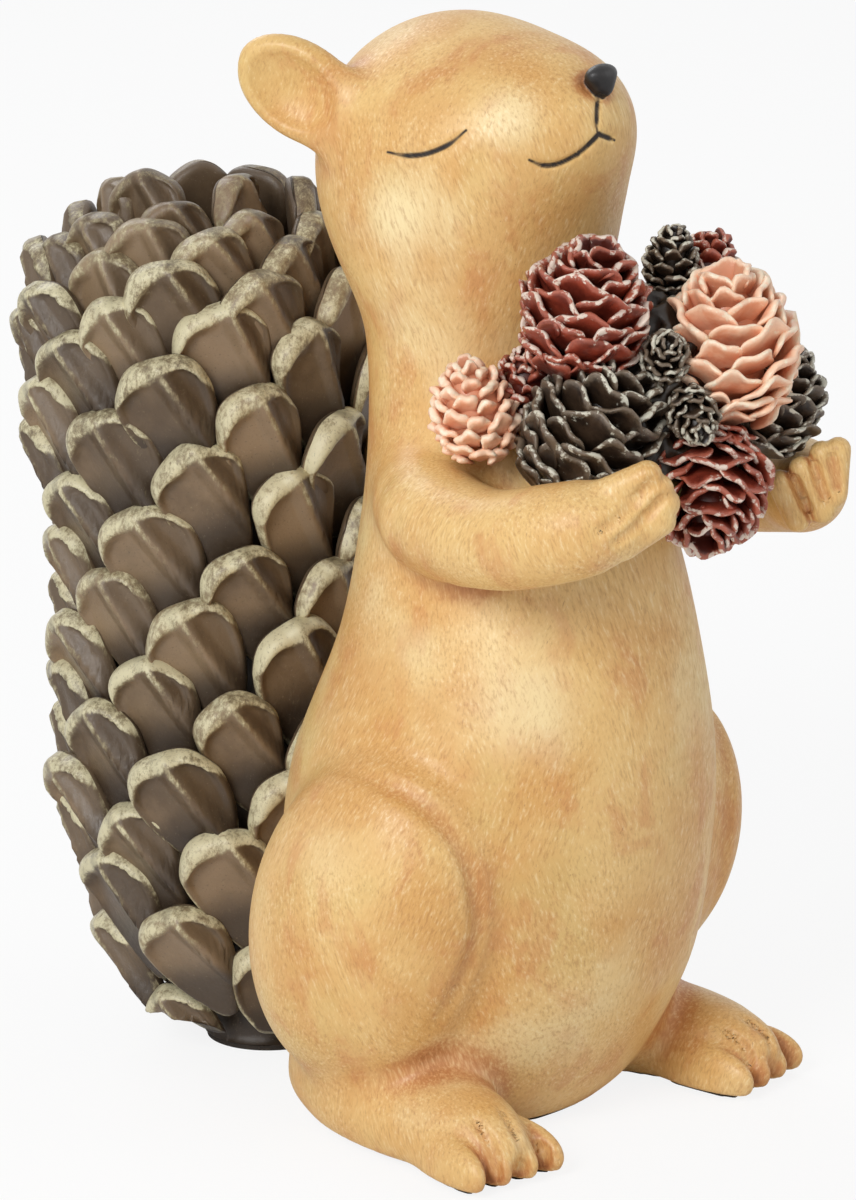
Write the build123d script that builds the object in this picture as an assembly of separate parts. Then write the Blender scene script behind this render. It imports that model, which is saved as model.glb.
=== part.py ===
from build123d import *
import bisect
import math
import os

# A sitting garden squirrel that holds a bunch of cones. Its tail is one large cone.
# Lengths are in millimetres. The squirrel faces -Y, +X is its left side and +Z is up.
# The origin is on the floor, under the middle of the body.

# Torso
TORSO_HEIGHT = 262
TORSO_WIDTH = 124
TORSO_DEPTH = 112
WALL = 6

# Head
SKULL_WIDTH = 77
SKULL_LENGTH = 82
SKULL_HEIGHT = 76
SKULL_MIDDLE_HEIGHT = 262.5
SKULL_FORWARD = 4
JAW_WIDTH = 60
JAW_LENGTH = 54
JAW_HEIGHT = 52
JAW_FORWARD = 20.5
JAW_DROP = 4.5
MUZZLE_WIDTH = 50
MUZZLE_LENGTH = 56
MUZZLE_HEIGHT = 44
MUZZLE_FORWARD = 26
MUZZLE_RISE = 9
MUZZLE_TILT = -16
NOSE_WIDTH = 10
NOSE_LENGTH = 7
NOSE_HEIGHT = 8
NOSE_FORWARD = 49
NOSE_RISE = 24

# Ears
EAR_DIAMETER = 30
EAR_THICKNESS = 8
EAR_TURN = 28
EAR_OUT = 40
EAR_BACK = 26
EAR_RISE = 20
LEFT_EAR_DROP = 5.5
EAR_RIM = 3
EAR_CUP_DEPTH = 4
EAR_ROOT_DIAMETER = 18

# Hind legs
HAUNCH_WIDTH = 54
HAUNCH_LENGTH = 72
HAUNCH_HEIGHT = 100
HAUNCH_TILT = 22
HAUNCH_SPACING = 103
HAUNCH_FORWARD = 18
HAUNCH_MIDDLE_HEIGHT = 64

# Feet
FOOT_WIDTH = 33
FOOT_LENGTH = 86
FOOT_HEIGHT = 27
FOOT_SPACING = 95
FOOT_FORWARD = 29.5
FOOT_TOE_OUT = 9
TOE_COUNT = 4
TOE_WIDTH = 10
TOE_LENGTH = 30
TOE_HEIGHT = 15
TOE_FAN = 6

# Arms
ARM_DIAMETER = 32
ARM_REACH = 87
ARM_SPREAD = 51
ARM_SHOULDER_HEIGHT = 178
ARM_SHOULDER_FORWARD = 13
ARM_RISE = 24
LEFT_HAND_DROP = 7
PALM_DIAMETER = 23
FINGER_COUNT = 4
FINGER_DIAMETER = 8
FINGER_LENGTH = 19
FINGER_PITCH = 5.3
FINGER_FORWARD = 4

# Tail
TAIL_HEIGHT = 235
TAIL_CORE_DIAMETER = 91
TAIL_LEAN = 6.4
TAIL_BACK = 68
TAIL_SEAT_BACK = 35
TAIL_WALL = 9
TAIL_SCALE_COUNT = 116
TAIL_SCALE_WIDTH = 26
TAIL_SCALE_LENGTH = 40
TAIL_SCALE_THICKNESS = 4.5
TAIL_SCALE_TILT = 13
TAIL_SCALE_SUNK = 2

# Pins that carry the tail
PIN_DIAMETER = 6
PIN_LENGTH = 26
PIN_LOWER_HEIGHT = 45
PIN_UPPER_HEIGHT = 90
PIN_BOSS_DIAMETER = 16
PIN_END_COVER = 3

# Plugs and felts
BODY_PLUG_DIAMETER = 44
TAIL_PLUG_DIAMETER = 26
PLUG_THICKNESS = 5
FELT_THICKNESS = 1.5

# Bunch of cones and the bed of resin that holds it
BUNCH_WIDTH = 80
BUNCH_DEPTH = 70
BUNCH_HEIGHT = 80
BUNCH_FLOOR_HEIGHT = 175
BUNCH_BACK = 40
BED_WIDTH = 78
BED_DEPTH = 64
BED_THICKNESS = 12
BED_TOP_HEIGHT = 187
BED_FORWARD = 62
BED_FRONT = 82
PINE_CONE_LENGTH = 42
PINE_CONE_WIDTH = 37
PINE_SCALE_THICKNESS = 1.6
KNOB_CONE_LENGTH = 29
KNOB_CONE_WIDTH = 26
KNOB_SCALE_THICKNESS = 3
ALDER_CONE_LENGTH = 20
ALDER_CONE_WIDTH = 15
ALDER_SCALE_THICKNESS = 1.2

# Clearances
GLUE_GAP = 0.3
OVERRUN = 20

# The turn between one scale and the next on every cone, in degrees
GOLDEN_ANGLE = 180 * (3 - math.sqrt(5))

# Torso sections from the floor to the middle of the skull, as shares of the torso's height,
# depth, half width and half depth: height, how far forward, half width, half depth.
TORSO_SHARES = (
    (0.00, 0.04, 0.66, 0.64),
    (0.046, 0.07, 0.84, 0.79),
    (0.153, 0.125, 0.97, 0.945),
    (0.267, 0.152, 1.00, 1.00),
    (0.382, 0.179, 0.95, 0.99),
    (0.515, 0.223, 0.76, 0.86),
    (0.63, 0.214, 0.65, 0.77),
    (0.725, 0.170, 0.565, 0.66),
    (0.81, 0.116, 0.50, 0.59),
    (0.90, 0.107, 0.55, 0.66),
    (1.00, 0.054, 0.58, 0.66),
)
OVAL_POINTS = 12

# Hollow of the belly: shares of the torso's height and of its half width
HOLLOW_SHARES = (
    (0.03, 0.00),
    (0.03, 0.42),
    (0.153, 0.64),
    (0.267, 0.70),
    (0.382, 0.68),
    (0.47, 0.50),
    (0.53, 0.24),
    (0.55, 0.00),
)
HOLLOW_FORWARD_SHARE = 0.16

# Middle line of an arm: shares of the spread, reach, rise and diameter
ARM_SHARES = (
    (0.45, 0.00, 0.02, 0.90),
    (0.84, 0.22, -0.12, 1.00),
    (1.00, 0.53, -0.06, 0.90),
    (0.98, 0.74, 0.10, 0.83),
    (0.90, 0.86, 0.32, 0.75),
    (0.82, 0.92, 0.52, 0.62),
)

# Profile of the tail's core: shares of its height and of its radius
TAIL_SHARES = (
    (0.00, 0.30),
    (0.05, 0.46),
    (0.17, 0.73),
    (0.34, 0.89),
    (0.51, 0.93),
    (0.68, 0.97),
    (0.80, 1.00),
    (0.90, 0.92),
    (0.965, 0.66),
    (1.00, 0.30),
)
TAIL_HOLLOW_LOW_SHARE = 0.16
TAIL_HOLLOW_HIGH_SHARE = 0.91
TAIL_TIP_TURN_SHARE = 0.35
TAIL_ROOT_WIDTH_SHARE = 0.6
TAIL_STEPS = 240

# Profile of a small cone's core: shares of its length and of its core radius
CORE_SHARES = (
    (-0.47, 0.00),
    (-0.47, 0.40),
    (-0.28, 0.88),
    (0.00, 1.00),
    (0.25, 0.80),
    (0.42, 0.42),
    (0.49, 0.00),
)
CONE_SPREAD_SHARE = 0.86
CONE_BASE_SHARE = 0.22
CONE_TOP_SHARE = 0.06
CONE_CLOSE_SHARE = 0.7
CONE_DISC_LOW_SHARE = 0.6

# The kinds of cone: length, width, scale thickness, count of scales, then the core, the
# scales' size and their seat as shares of the width, and how far they open in degrees
CONE_KINDS = {
    "pine": (PINE_CONE_LENGTH, PINE_CONE_WIDTH, PINE_SCALE_THICKNESS, 42, 0.62, 0.36, 0.62, 54),
    "knob": (KNOB_CONE_LENGTH, KNOB_CONE_WIDTH, KNOB_SCALE_THICKNESS, 34, 0.74, 0.24, 0.74, 64),
    "alder": (ALDER_CONE_LENGTH, ALDER_CONE_WIDTH, ALDER_SCALE_THICKNESS, 26, 0.68, 0.34, 0.66, 40),
}

# The bunch: name, kind, place as shares of the bunch's width, depth and height, size as a
# share of its kind, then the lean from upright and the direction of the lean in degrees.
# Direction 0 leans to the front and 90 to the squirrel's left.
CONE_SHARES = (
    ("dark_cone_middle", "pine", (-0.265, 0.43, 0.34), 0.97, 40, -28),
    ("rose_cone_large", "pine", (-0.275, 0.375, 0.73), 0.97, 36, -28),
    ("pink_cone_large", "pine", (0.135, 0.69, 0.565), 1.00, 32, 10),
    ("rose_cone_low", "pine", (-0.04, 0.72, 0.09), 0.84, 112, 12),
    ("dark_cone_left", "pine", (0.425, 0.69, 0.34), 0.80, 46, 55),
    ("rose_cone_far", "pine", (0.37, 0.32, 0.47), 0.80, 36, 75),
    ("pink_cone_right", "knob", (-0.475, 0.02, 0.37), 1.00, 34, -55),
    ("pink_cone_far", "knob", (0.475, 0.02, 0.37), 0.95, 34, 60),
    ("rose_cone_inner", "knob", (-0.31, 0.11, 0.435), 0.78, 20, -40),
    ("rose_cone_top", "knob", (0.355, 0.375, 0.80), 0.85, 14, 70),
    ("dark_cone_top", "alder", (0.1375, 0.394, 0.807), 1.10, 16, -30),
    ("dark_cone_small", "alder", (-0.15, 0.636, 0.5725), 0.95, 66, -35),
    ("dark_cone_lower", "alder", (-0.12, 0.745, 0.385), 0.95, 104, -32),
)


def oval(half_width, half_depth):
    """A smooth closed face through points on an ellipse, with its seam at the back."""
    corners = []
    for index in range(OVAL_POINTS):
        angle = 2 * math.pi * (index / OVAL_POINTS + 1 / 4)
        corners.append((half_width * math.cos(angle), half_depth * math.sin(angle)))
    return make_face(Spline(*corners, periodic=True))


def blob(width, length, height, place, tilt=0, turn=0):
    """An ellipsoid with its middle at place, and its poles in front and behind."""
    ball = scale(Rot(90, 0, 0) * Sphere(1), by=(width / 2, length / 2, height / 2))
    return Location(place) * Rot(0, 0, turn) * Rot(tilt, 0, 0) * ball


def round_solid(profile):
    """A solid of revolution round Z from points of radius and height."""
    return revolve(make_face(Plane.XZ * Polyline(*profile, close=True)), Axis.Z)


def joined(pieces):
    return pieces[0].fuse(*pieces[1:]).solid()


def biggest(shape):
    return shape.solids().sort_by(SortBy.VOLUME)[-1]


def torso(grow=0):
    """The pear of the body, up to the middle of the skull."""
    faces = []
    for height, forward, half_width, half_depth in TORSO_SHARES:
        face = oval(TORSO_WIDTH / 2 * half_width + grow, TORSO_DEPTH / 2 * half_depth + grow)
        faces.append(Pos(0, -TORSO_DEPTH * forward, TORSO_HEIGHT * height) * face)
    return loft(faces)


def torso_section(height):
    """Middle and half sizes of the torso at a height."""
    share = min(max(height / TORSO_HEIGHT, 0), 1)
    for low, high in zip(TORSO_SHARES, TORSO_SHARES[1:]):
        if low[0] <= share <= high[0]:
            part = (share - low[0]) / (high[0] - low[0])
            forward, wide, deep = [a + (b - a) * part for a, b in zip(low[1:], high[1:])]
            return -TORSO_DEPTH * forward, TORSO_WIDTH / 2 * wide, TORSO_DEPTH / 2 * deep


def head_place(forward, rise):
    """A point in the middle plane, set off from the middle of the skull."""
    return (0, -SKULL_FORWARD - forward, SKULL_MIDDLE_HEIGHT + rise)


def head_parts():
    """Skull, jaw, muzzle and nose."""
    return [
        blob(SKULL_WIDTH, SKULL_LENGTH, SKULL_HEIGHT, head_place(0, 0)),
        blob(JAW_WIDTH, JAW_LENGTH, JAW_HEIGHT, head_place(JAW_FORWARD, -JAW_DROP)),
        blob(MUZZLE_WIDTH, MUZZLE_LENGTH, MUZZLE_HEIGHT, head_place(MUZZLE_FORWARD, MUZZLE_RISE), MUZZLE_TILT),
        blob(NOSE_WIDTH, NOSE_LENGTH, NOSE_HEIGHT, head_place(NOSE_FORWARD, NOSE_RISE), MUZZLE_TILT),
    ]


def dish_arc(radius, depth):
    """The arc of a round dish, from its rim at height 0 down to its lowest point."""
    middle = (radius**2 - depth**2) / (2 * depth)
    ball = middle + depth
    half_turn = math.asin(radius / ball) / 2
    via = (ball * math.sin(half_turn), middle - ball * math.cos(half_turn))
    return ThreePointArc((radius, 0), via, (0, -depth))


def ear(side):
    """A round ear: a dish with a rim and a shallow cup that faces outwards, on a round root."""
    radius = EAR_DIAMETER / 2
    cup = radius - EAR_RIM
    rim = ThreePointArc((radius, 0), (radius - EAR_RIM / 2, EAR_RIM / 2), (cup, 0))
    middle = Line((0, -EAR_CUP_DEPTH), (0, -EAR_THICKNESS))
    outline = Curve([dish_arc(radius, EAR_THICKNESS), rim, dish_arc(cup, EAR_CUP_DEPTH), middle])
    dish = revolve(make_face(Plane.XZ * outline), Axis.Z)
    drop = LEFT_EAR_DROP if side > 0 else 0
    _, y, z = head_place(-EAR_BACK, EAR_RISE - drop)
    root = Pos(side * (EAR_OUT - (EAR_THICKNESS + EAR_ROOT_DIAMETER) / 2), y, z)
    root = root * Sphere(EAR_ROOT_DIAMETER / 2)
    return root + Pos(side * EAR_OUT, y, z) * Rot(0, 0, -side * EAR_TURN) * Rot(0, side * 90, 0) * dish


def hind_leg(side):
    """Haunch, foot and toes of the right side, or their mirror image on the left (side 1)."""
    haunch_place = (-HAUNCH_SPACING / 2, -HAUNCH_FORWARD, HAUNCH_MIDDLE_HEIGHT)
    pieces = [blob(HAUNCH_WIDTH, HAUNCH_LENGTH, HAUNCH_HEIGHT, haunch_place, HAUNCH_TILT)]
    foot_place = Pos(-FOOT_SPACING / 2, -FOOT_FORWARD, -FELT_THICKNESS) * Rot(0, 0, -FOOT_TOE_OUT)
    pieces.append(foot_place * blob(FOOT_WIDTH, FOOT_LENGTH, FOOT_HEIGHT, (0, 0, FOOT_HEIGHT / 2)))
    pitch = (FOOT_WIDTH - TOE_WIDTH) / (TOE_COUNT - 1)
    for index in range(TOE_COUNT):
        across = index - (TOE_COUNT - 1) / 2
        spot = (across * pitch, (TOE_LENGTH - FOOT_LENGTH) / 2, TOE_HEIGHT / 2)
        pieces.append(foot_place * blob(TOE_WIDTH, TOE_LENGTH, TOE_HEIGHT, spot, turn=across * TOE_FAN))
    leg = joined(pieces)
    return leg if side < 0 else mirror(leg, about=Plane.YZ)


def arm_line(side):
    """Places and radii along an arm, from inside the shoulder to the palm."""
    line = []
    for spread, reach, rise, thickness in ARM_SHARES:
        drop = LEFT_HAND_DROP * reach if side > 0 else 0
        x = side * ARM_SPREAD * spread
        y = -ARM_SHOULDER_FORWARD - ARM_REACH * reach
        z = ARM_SHOULDER_HEIGHT + ARM_RISE * rise - drop
        line.append((Vector(x, y, z), ARM_DIAMETER / 2 * thickness))
    return line


def arm(side, grow=0):
    """A tapering tube from inside the shoulder to a round palm."""
    line = arm_line(side)
    faces = []
    for index, (place, radius) in enumerate(line):
        before = line[max(index - 1, 0)][0]
        after = line[min(index + 1, len(line) - 1)][0]
        plane = Plane(place, x_dir=(0, 0, 1), z_dir=after - before)
        faces.append(plane * oval(radius + grow, radius + grow))
    palm = Pos(*line[-1][0]) * Sphere(PALM_DIAMETER / 2 + grow)
    return joined([loft(faces), palm])


def finger_planes(side):
    """Where the fingers stand, side by side on the palm. Each plane's Z points to the tip."""
    line = arm_line(side)
    palm = line[-1][0]
    forward = (palm - line[-2][0]).normalized()
    across = forward.cross(Vector(side, 0, 0)).normalized()
    middle = (FINGER_COUNT - 1) / 2
    spots = [palm + across * (index - middle) * FINGER_PITCH for index in range(FINGER_COUNT)]
    return [Plane(spot, z_dir=forward) for spot in spots]


def hand_balls(side):
    """Round things that a hand holds a cone against: the arm, the palm and the finger tips."""
    line = arm_line(side)
    balls = line + [(line[-1][0], PALM_DIAMETER / 2)]
    tip = FINGER_FORWARD + (FINGER_LENGTH - FINGER_DIAMETER) / 2
    for plane in finger_planes(side):
        balls.append((plane.from_local_coords(Vector(0, 0, tip)), FINGER_DIAMETER / 2))
    return balls


def fingers(side):
    finger = blob(FINGER_DIAMETER, FINGER_DIAMETER, FINGER_LENGTH, (0, 0, FINGER_FORWARD))
    return [plane.location * finger for plane in finger_planes(side)]


def pin_place(height):
    return (0, TAIL_SEAT_BACK, height)


def pin(height, grow=0):
    """A steel pin that crosses the seat of the tail."""
    return Pos(*pin_place(height)) * Rot(90, 0, 0) * Cylinder(PIN_DIAMETER / 2 + grow, PIN_LENGTH + 2 * grow)


def pin_holes():
    return [pin(height, GLUE_GAP) for height in (PIN_LOWER_HEIGHT, PIN_UPPER_HEIGHT)]


def pin_bosses():
    """Thick stations that keep the pins out of the hollows."""
    boss = Rot(90, 0, 0) * Cylinder(PIN_BOSS_DIAMETER / 2, PIN_LENGTH + 2 * PIN_END_COVER)
    return [Pos(*pin_place(height)) * boss for height in (PIN_LOWER_HEIGHT, PIN_UPPER_HEIGHT)]


def floor_block():
    """Everything below the top of the felts."""
    side = 2 * (TORSO_HEIGHT + TAIL_HEIGHT)
    align = (Align.CENTER, Align.CENTER, Align.MAX)
    return Pos(0, 0, FELT_THICKNESS) * Box(side, side, OVERRUN, align=align)


def seat_block(side, back=0):
    """Everything behind the seat plane (side 1) or in front of it (side -1)."""
    size = 2 * (TORSO_HEIGHT + TAIL_HEIGHT)
    return Pos(0, TAIL_SEAT_BACK + back + side * size / 2, 0) * Box(size, size, size)


def plug(diameter, height, place):
    align = (Align.CENTER, Align.CENTER, Align.MIN)
    return Pos(place[0], place[1], FELT_THICKNESS) * Cylinder(diameter / 2, height, align=align)


def body_axis():
    """Where the upright axis of the body's hollow stands."""
    return (0, -TORSO_DEPTH * HOLLOW_FORWARD_SHARE)


def body_hollow():
    """The hollow of the casting, solid round the pins and behind the seat of the tail."""
    profile = [(TORSO_WIDTH / 2 * radius, TORSO_HEIGHT * height) for height, radius in HOLLOW_SHARES]
    hollow = Pos(*body_axis()) * round_solid(profile)
    return hollow.cut(seat_block(1, -WALL), *pin_bosses())


def make_body():
    """The casting of the squirrel itself: torso, head, ears, legs and arms."""
    body = joined([torso(), *head_parts()])
    for side in (-1, 1):
        hand = joined([arm(side), *fingers(side)])
        body = joined([body, hind_leg(side), hand, ear(side)])
    plug_hole = plug(BODY_PLUG_DIAMETER + 2 * GLUE_GAP, WALL + OVERRUN, body_axis())
    return biggest(body.cut(floor_block(), seat_block(1), body_hollow(), plug_hole, *pin_holes()))


def tail_radius(height):
    """Radius of the tail's core at a height along its own axis."""
    share = min(max(height / TAIL_HEIGHT, 0), 1)
    for (low, low_radius), (high, high_radius) in zip(TAIL_SHARES, TAIL_SHARES[1:]):
        if low <= share <= high:
            part = (share - low) / (high - low)
            return TAIL_CORE_DIAMETER / 2 * (low_radius + (high_radius - low_radius) * part)


def tail_place():
    return Pos(0, TAIL_BACK, 0) * Rot(-TAIL_LEAN, 0, 0)


def tail_scale():
    """One scale: a flat tongue with a round tip, rooted at the origin and pointing up."""
    half = TAIL_SCALE_WIDTH / 2
    root = half * TAIL_ROOT_WIDTH_SHARE
    shoulder = TAIL_SCALE_LENGTH - half
    outline = Polyline((-half, shoulder), (-root, 0), (root, 0), (half, shoulder))
    tip = ThreePointArc((half, shoulder), (0, TAIL_SCALE_LENGTH), (-half, shoulder))
    return extrude(Plane.XZ * make_face(outline + tip), TAIL_SCALE_THICKNESS / 2, both=True)


def tail_scales():
    """Scales on a golden spiral, each with an equal share of the core's surface."""
    step = TAIL_HEIGHT / TAIL_STEPS
    heights = [step * index for index in range(TAIL_STEPS + 1)]
    areas = [0]
    for height in heights[:-1]:
        areas.append(areas[-1] + tail_radius(height + step / 2) * step)
    tongue = tail_scale()
    scales = []
    for index in range(TAIL_SCALE_COUNT):
        wanted = areas[-1] * (index + 1 / 2) / TAIL_SCALE_COUNT
        height = heights[bisect.bisect_left(areas, wanted)]
        slope = math.atan2(tail_radius(height - step) - tail_radius(height + step), 2 * step)
        tilt = TAIL_SCALE_TILT - TAIL_TIP_TURN_SHARE * math.degrees(slope)
        root = Pos(0, TAIL_SCALE_SUNK - tail_radius(height), height - TAIL_SCALE_LENGTH / 2)
        turn = Rot(0, 0, index * GOLDEN_ANGLE)
        scales.append(tail_place() * turn * root * Rot(tilt, 0, 0) * tongue)
    return scales


def tail_core():
    """The core of the tail, hollow but for the stations round the pins."""
    outline = [(0, 0)]
    inside = [(0, WALL), (TAIL_PLUG_DIAMETER / 2, WALL)]
    for height, share in TAIL_SHARES:
        radius = TAIL_CORE_DIAMETER / 2 * share
        outline.append((radius, TAIL_HEIGHT * height))
        if TAIL_HOLLOW_LOW_SHARE <= height <= TAIL_HOLLOW_HIGH_SHARE:
            inside.append((radius - TAIL_WALL, TAIL_HEIGHT * height))
    outline.append((0, TAIL_HEIGHT))
    inside.append((0, inside[-1][1]))
    hollow = (tail_place() * round_solid(inside)).cut(seat_block(-1, TAIL_WALL), *pin_bosses())
    plug_hole = plug(TAIL_PLUG_DIAMETER + 2 * GLUE_GAP, WALL + OVERRUN, (0, TAIL_BACK))
    return (tail_place() * round_solid(outline)).cut(hollow, plug_hole)


def make_tail():
    """The core and its scales, cut flat at the floor and at the seat on the body."""
    tail = tail_core().fuse(*tail_scales())
    return biggest(tail.cut(floor_block(), seat_block(-1), *pin_holes()))


def felt(casting):
    """A felt sole of the same outline as the flat base of a casting."""
    base = casting.faces().filter_by_position(Axis.Z, 0, 2 * FELT_THICKNESS).sort_by(SortBy.AREA)[-1]
    return extrude(Face(base.outer_wire()), FELT_THICKNESS, dir=(0, 0, -1))


def cone_shape(kind):
    """A cone casting of one kind, standing on its base, with its middle at the origin."""
    length, width, thickness, count, core, disc, seat, opening = CONE_KINDS[kind]
    profile = [(width / 2 * core * girth, length * height) for height, girth in CORE_SHARES]
    pieces = [round_solid(profile)]
    for index in range(count):
        share = (index + 1 / 2) / count
        height = length * (share - 1 / 2) * CONE_SPREAD_SHARE
        swell = CONE_BASE_SHARE + (1 - CONE_BASE_SHARE - CONE_TOP_SHARE) * share
        girth = math.sin(math.pi * swell)
        radius = width * disc / 2 * (CONE_DISC_LOW_SHARE + (1 - CONE_DISC_LOW_SHARE) * girth)
        tilt = opening * (1 - CONE_CLOSE_SHARE * share)
        place = Rot(0, 0, index * GOLDEN_ANGLE) * Pos(width / 2 * seat * girth, 0, height)
        pieces.append(place * Rot(0, tilt - 90, 0) * Cylinder(radius, thickness))
    return joined(pieces)


def cone_place(places, lean, direction):
    """Where a cone stands in the bunch, with its own axis leaning outwards."""
    across, forward, up = places
    y = -BUNCH_BACK - BUNCH_DEPTH * forward
    place = Pos(BUNCH_WIDTH * across, y, BUNCH_FLOOR_HEIGHT + BUNCH_HEIGHT * up)
    return place * Rot(0, 0, direction) * Rot(lean, 0, 0)


def reach(place, length, width, direction):
    """How far an ellipsoid of that length and width reaches from its middle."""
    along = Plane(place).z_dir.dot(direction)
    return math.sqrt((length / 2 * along) ** 2 + (width / 2) ** 2 * (1 - along**2))


def slab(point, direction):
    """A block with one face through the point, on the side that the direction points to."""
    size = 2 * BUNCH_WIDTH
    align = (Align.CENTER, Align.CENTER, Align.MIN)
    return Plane(point, z_dir=direction).location * Box(size, size, size, align=align)


def chest_slab(place, lift):
    """The block behind the tangent plane of the chest that faces a cone, lifted so much."""
    x, y, z = place.position + Vector(0, 0, lift)
    middle, half_width, half_depth = torso_section(z)
    spot = Vector(x / half_width, (y - middle) / half_depth).normalized()
    normal = Vector(spot.X / half_width, spot.Y / half_depth).normalized()
    point = Vector(half_width * spot.X, middle + half_depth * spot.Y, z)
    return slab(point + normal * 2 * GLUE_GAP, -normal)


def facing_slab(place, mine, other, theirs):
    """The block past the plane between a cone and another round thing that it meets, where
    mine and theirs are how far each reaches along the line between them."""
    between = other - place.position
    middle = between.length * mine / (mine + theirs)
    if theirs + mine + GLUE_GAP < between.length:
        return []
    return [slab(place.position + between.normalized() * (middle - GLUE_GAP / 2), between)]


def make_bunch():
    """The cones on a bed of resin. Each is cut flat where it meets the bed, the chest, an
    arm or another cone."""
    cones = []
    for name, kind, places, size, lean, direction in CONE_SHARES:
        length, width = [size * value for value in CONE_KINDS[kind][:2]]
        cones.append((name, kind, size, cone_place(places, lean, direction), length, width))
    kinds = {kind: cone_shape(kind) for kind in CONE_KINDS}
    bunch = {}
    for name, kind, size, place, length, width in cones:
        if place.position.Z > BED_TOP_HEIGHT:
            seat = slab(Vector(0, -BED_FORWARD, BED_TOP_HEIGHT + GLUE_GAP), Vector(0, 0, -1))
        else:
            seat = slab(Vector(0, -BED_FRONT - GLUE_GAP, BED_TOP_HEIGHT), Vector(0, 1, 0))
        tools = [seat, chest_slab(place, -width / 3), chest_slab(place, width / 3)]
        for other_name, _, _, other, other_length, other_width in cones:
            if other_name != name:
                direction = (other.position - place.position).normalized()
                mine = reach(place, length, width, direction)
                theirs = reach(other, other_length, other_width, direction)
                tools += facing_slab(place, mine, other.position, theirs)
        for side in (-1, 1):
            for spot, radius in hand_balls(side):
                between = spot - place.position
                mine = reach(place, length, width, between.normalized())
                if mine + radius + GLUE_GAP > between.length:
                    edge = between.length - radius - GLUE_GAP
                    tools.append(slab(place.position + between.normalized() * edge, between))
        bunch[name] = biggest((place * scale(kinds[kind], by=size)).cut(*tools))
    bed = extrude(oval(BED_WIDTH / 2, BED_DEPTH / 2), BED_THICKNESS)
    bed = Pos(0, -BED_FORWARD, BED_TOP_HEIGHT - BED_THICKNESS) * bed
    front = slab(Vector(0, -BED_FRONT, BED_TOP_HEIGHT), Vector(0, -1, 0))
    bunch["bunch_bed"] = biggest(bed.cut(torso(GLUE_GAP), arm(-1, GLUE_GAP), arm(1, GLUE_GAP), front))
    return bunch


body = make_body()
tail = make_tail()
parts = {
    "body_casting": body,
    "tail_casting": tail,
    "body_felt": felt(body),
    "tail_felt": felt(tail),
    "body_plug": plug(BODY_PLUG_DIAMETER, PLUG_THICKNESS, body_axis()),
    "tail_plug": plug(TAIL_PLUG_DIAMETER, PLUG_THICKNESS, (0, TAIL_BACK)),
    "tail_pin_lower": pin(PIN_LOWER_HEIGHT),
    "tail_pin_upper": pin(PIN_UPPER_HEIGHT),
    **make_bunch(),
}

os.makedirs("parts", exist_ok=True)
for name, shape in parts.items():
    export_step(shape, f"parts/{name}.step")
    print(name, len(shape.solids()), "solids", round(shape.volume), "mm3", shape.is_valid)
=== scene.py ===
import bpy
import bmesh
import math
import numpy as np
from mathutils import Matrix, Vector


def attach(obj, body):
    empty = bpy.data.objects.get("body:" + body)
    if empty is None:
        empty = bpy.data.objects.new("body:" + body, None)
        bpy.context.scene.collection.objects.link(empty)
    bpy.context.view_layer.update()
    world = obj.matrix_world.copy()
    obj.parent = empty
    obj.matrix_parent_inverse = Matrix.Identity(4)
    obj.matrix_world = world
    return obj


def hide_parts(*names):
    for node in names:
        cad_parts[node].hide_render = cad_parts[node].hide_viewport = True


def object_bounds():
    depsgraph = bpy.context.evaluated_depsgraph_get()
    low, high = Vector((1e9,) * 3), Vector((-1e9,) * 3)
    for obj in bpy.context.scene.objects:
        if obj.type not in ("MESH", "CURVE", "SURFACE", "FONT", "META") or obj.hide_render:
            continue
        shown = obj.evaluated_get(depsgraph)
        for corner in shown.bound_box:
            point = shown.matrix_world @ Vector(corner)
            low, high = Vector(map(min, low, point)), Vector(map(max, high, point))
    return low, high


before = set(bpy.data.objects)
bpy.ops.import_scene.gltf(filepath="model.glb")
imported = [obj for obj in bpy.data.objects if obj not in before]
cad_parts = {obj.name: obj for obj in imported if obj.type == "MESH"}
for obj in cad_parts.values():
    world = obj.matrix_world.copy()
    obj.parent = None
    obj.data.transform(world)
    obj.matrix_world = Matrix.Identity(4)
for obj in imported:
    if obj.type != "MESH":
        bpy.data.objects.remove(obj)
cad_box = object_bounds()

# Lengths in this script are in millimetres until a mesh is made, and metres from there on.
MM = 0.001
GOLDEN = math.pi * (3 - math.sqrt(5))

# The photograph's height in pixels, and its view
PHOTO_HEIGHT = 1200
CAMERA_AZIMUTH, CAMERA_ELEVATION = -49, 15
CAMERA_DISTANCE = 1900
CAMERA_TARGET = (-37.6, -25, 150)
PIXELS_PER_MM = 3.77
SENSOR_HEIGHT, NEAREST_SEEN = 36, 50

FAR = 1e3


# Numbers and fields

def smoothstep(low, high, value):
    t = np.clip((value - low) / (high - low), 0, 1)
    return t * t * (3 - 2 * t)


def smooth_min(a, b, k):
    """The lesser of two values, rounded off where they come nearer than k."""
    h = np.maximum(k - np.abs(a - b), 0) / k
    return np.minimum(a, b) - h * h * k / 4


def smooth_max(a, b, k):
    return -smooth_min(-a, -b, k)


def catmull(points, count):
    """A smooth line of that many points through the given points."""
    points = np.asarray(points, float)
    ends = np.vstack([2 * points[0] - points[1], points, 2 * points[-1] - points[-2]])
    line = []
    for value in np.linspace(0, len(points) - 1, count):
        i = min(int(value), len(points) - 2)
        t = value - i
        a, b, c, d = ends[i:i + 4]
        line.append(0.5 * (2 * b + (c - a) * t + (2 * a - 5 * b + 4 * c - d) * t * t
                           + (3 * b - a - 3 * c + d) * t ** 3))
    return np.array(line)


def cos_sin(degrees):
    return math.cos(math.radians(degrees)), math.sin(math.radians(degrees))


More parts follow.
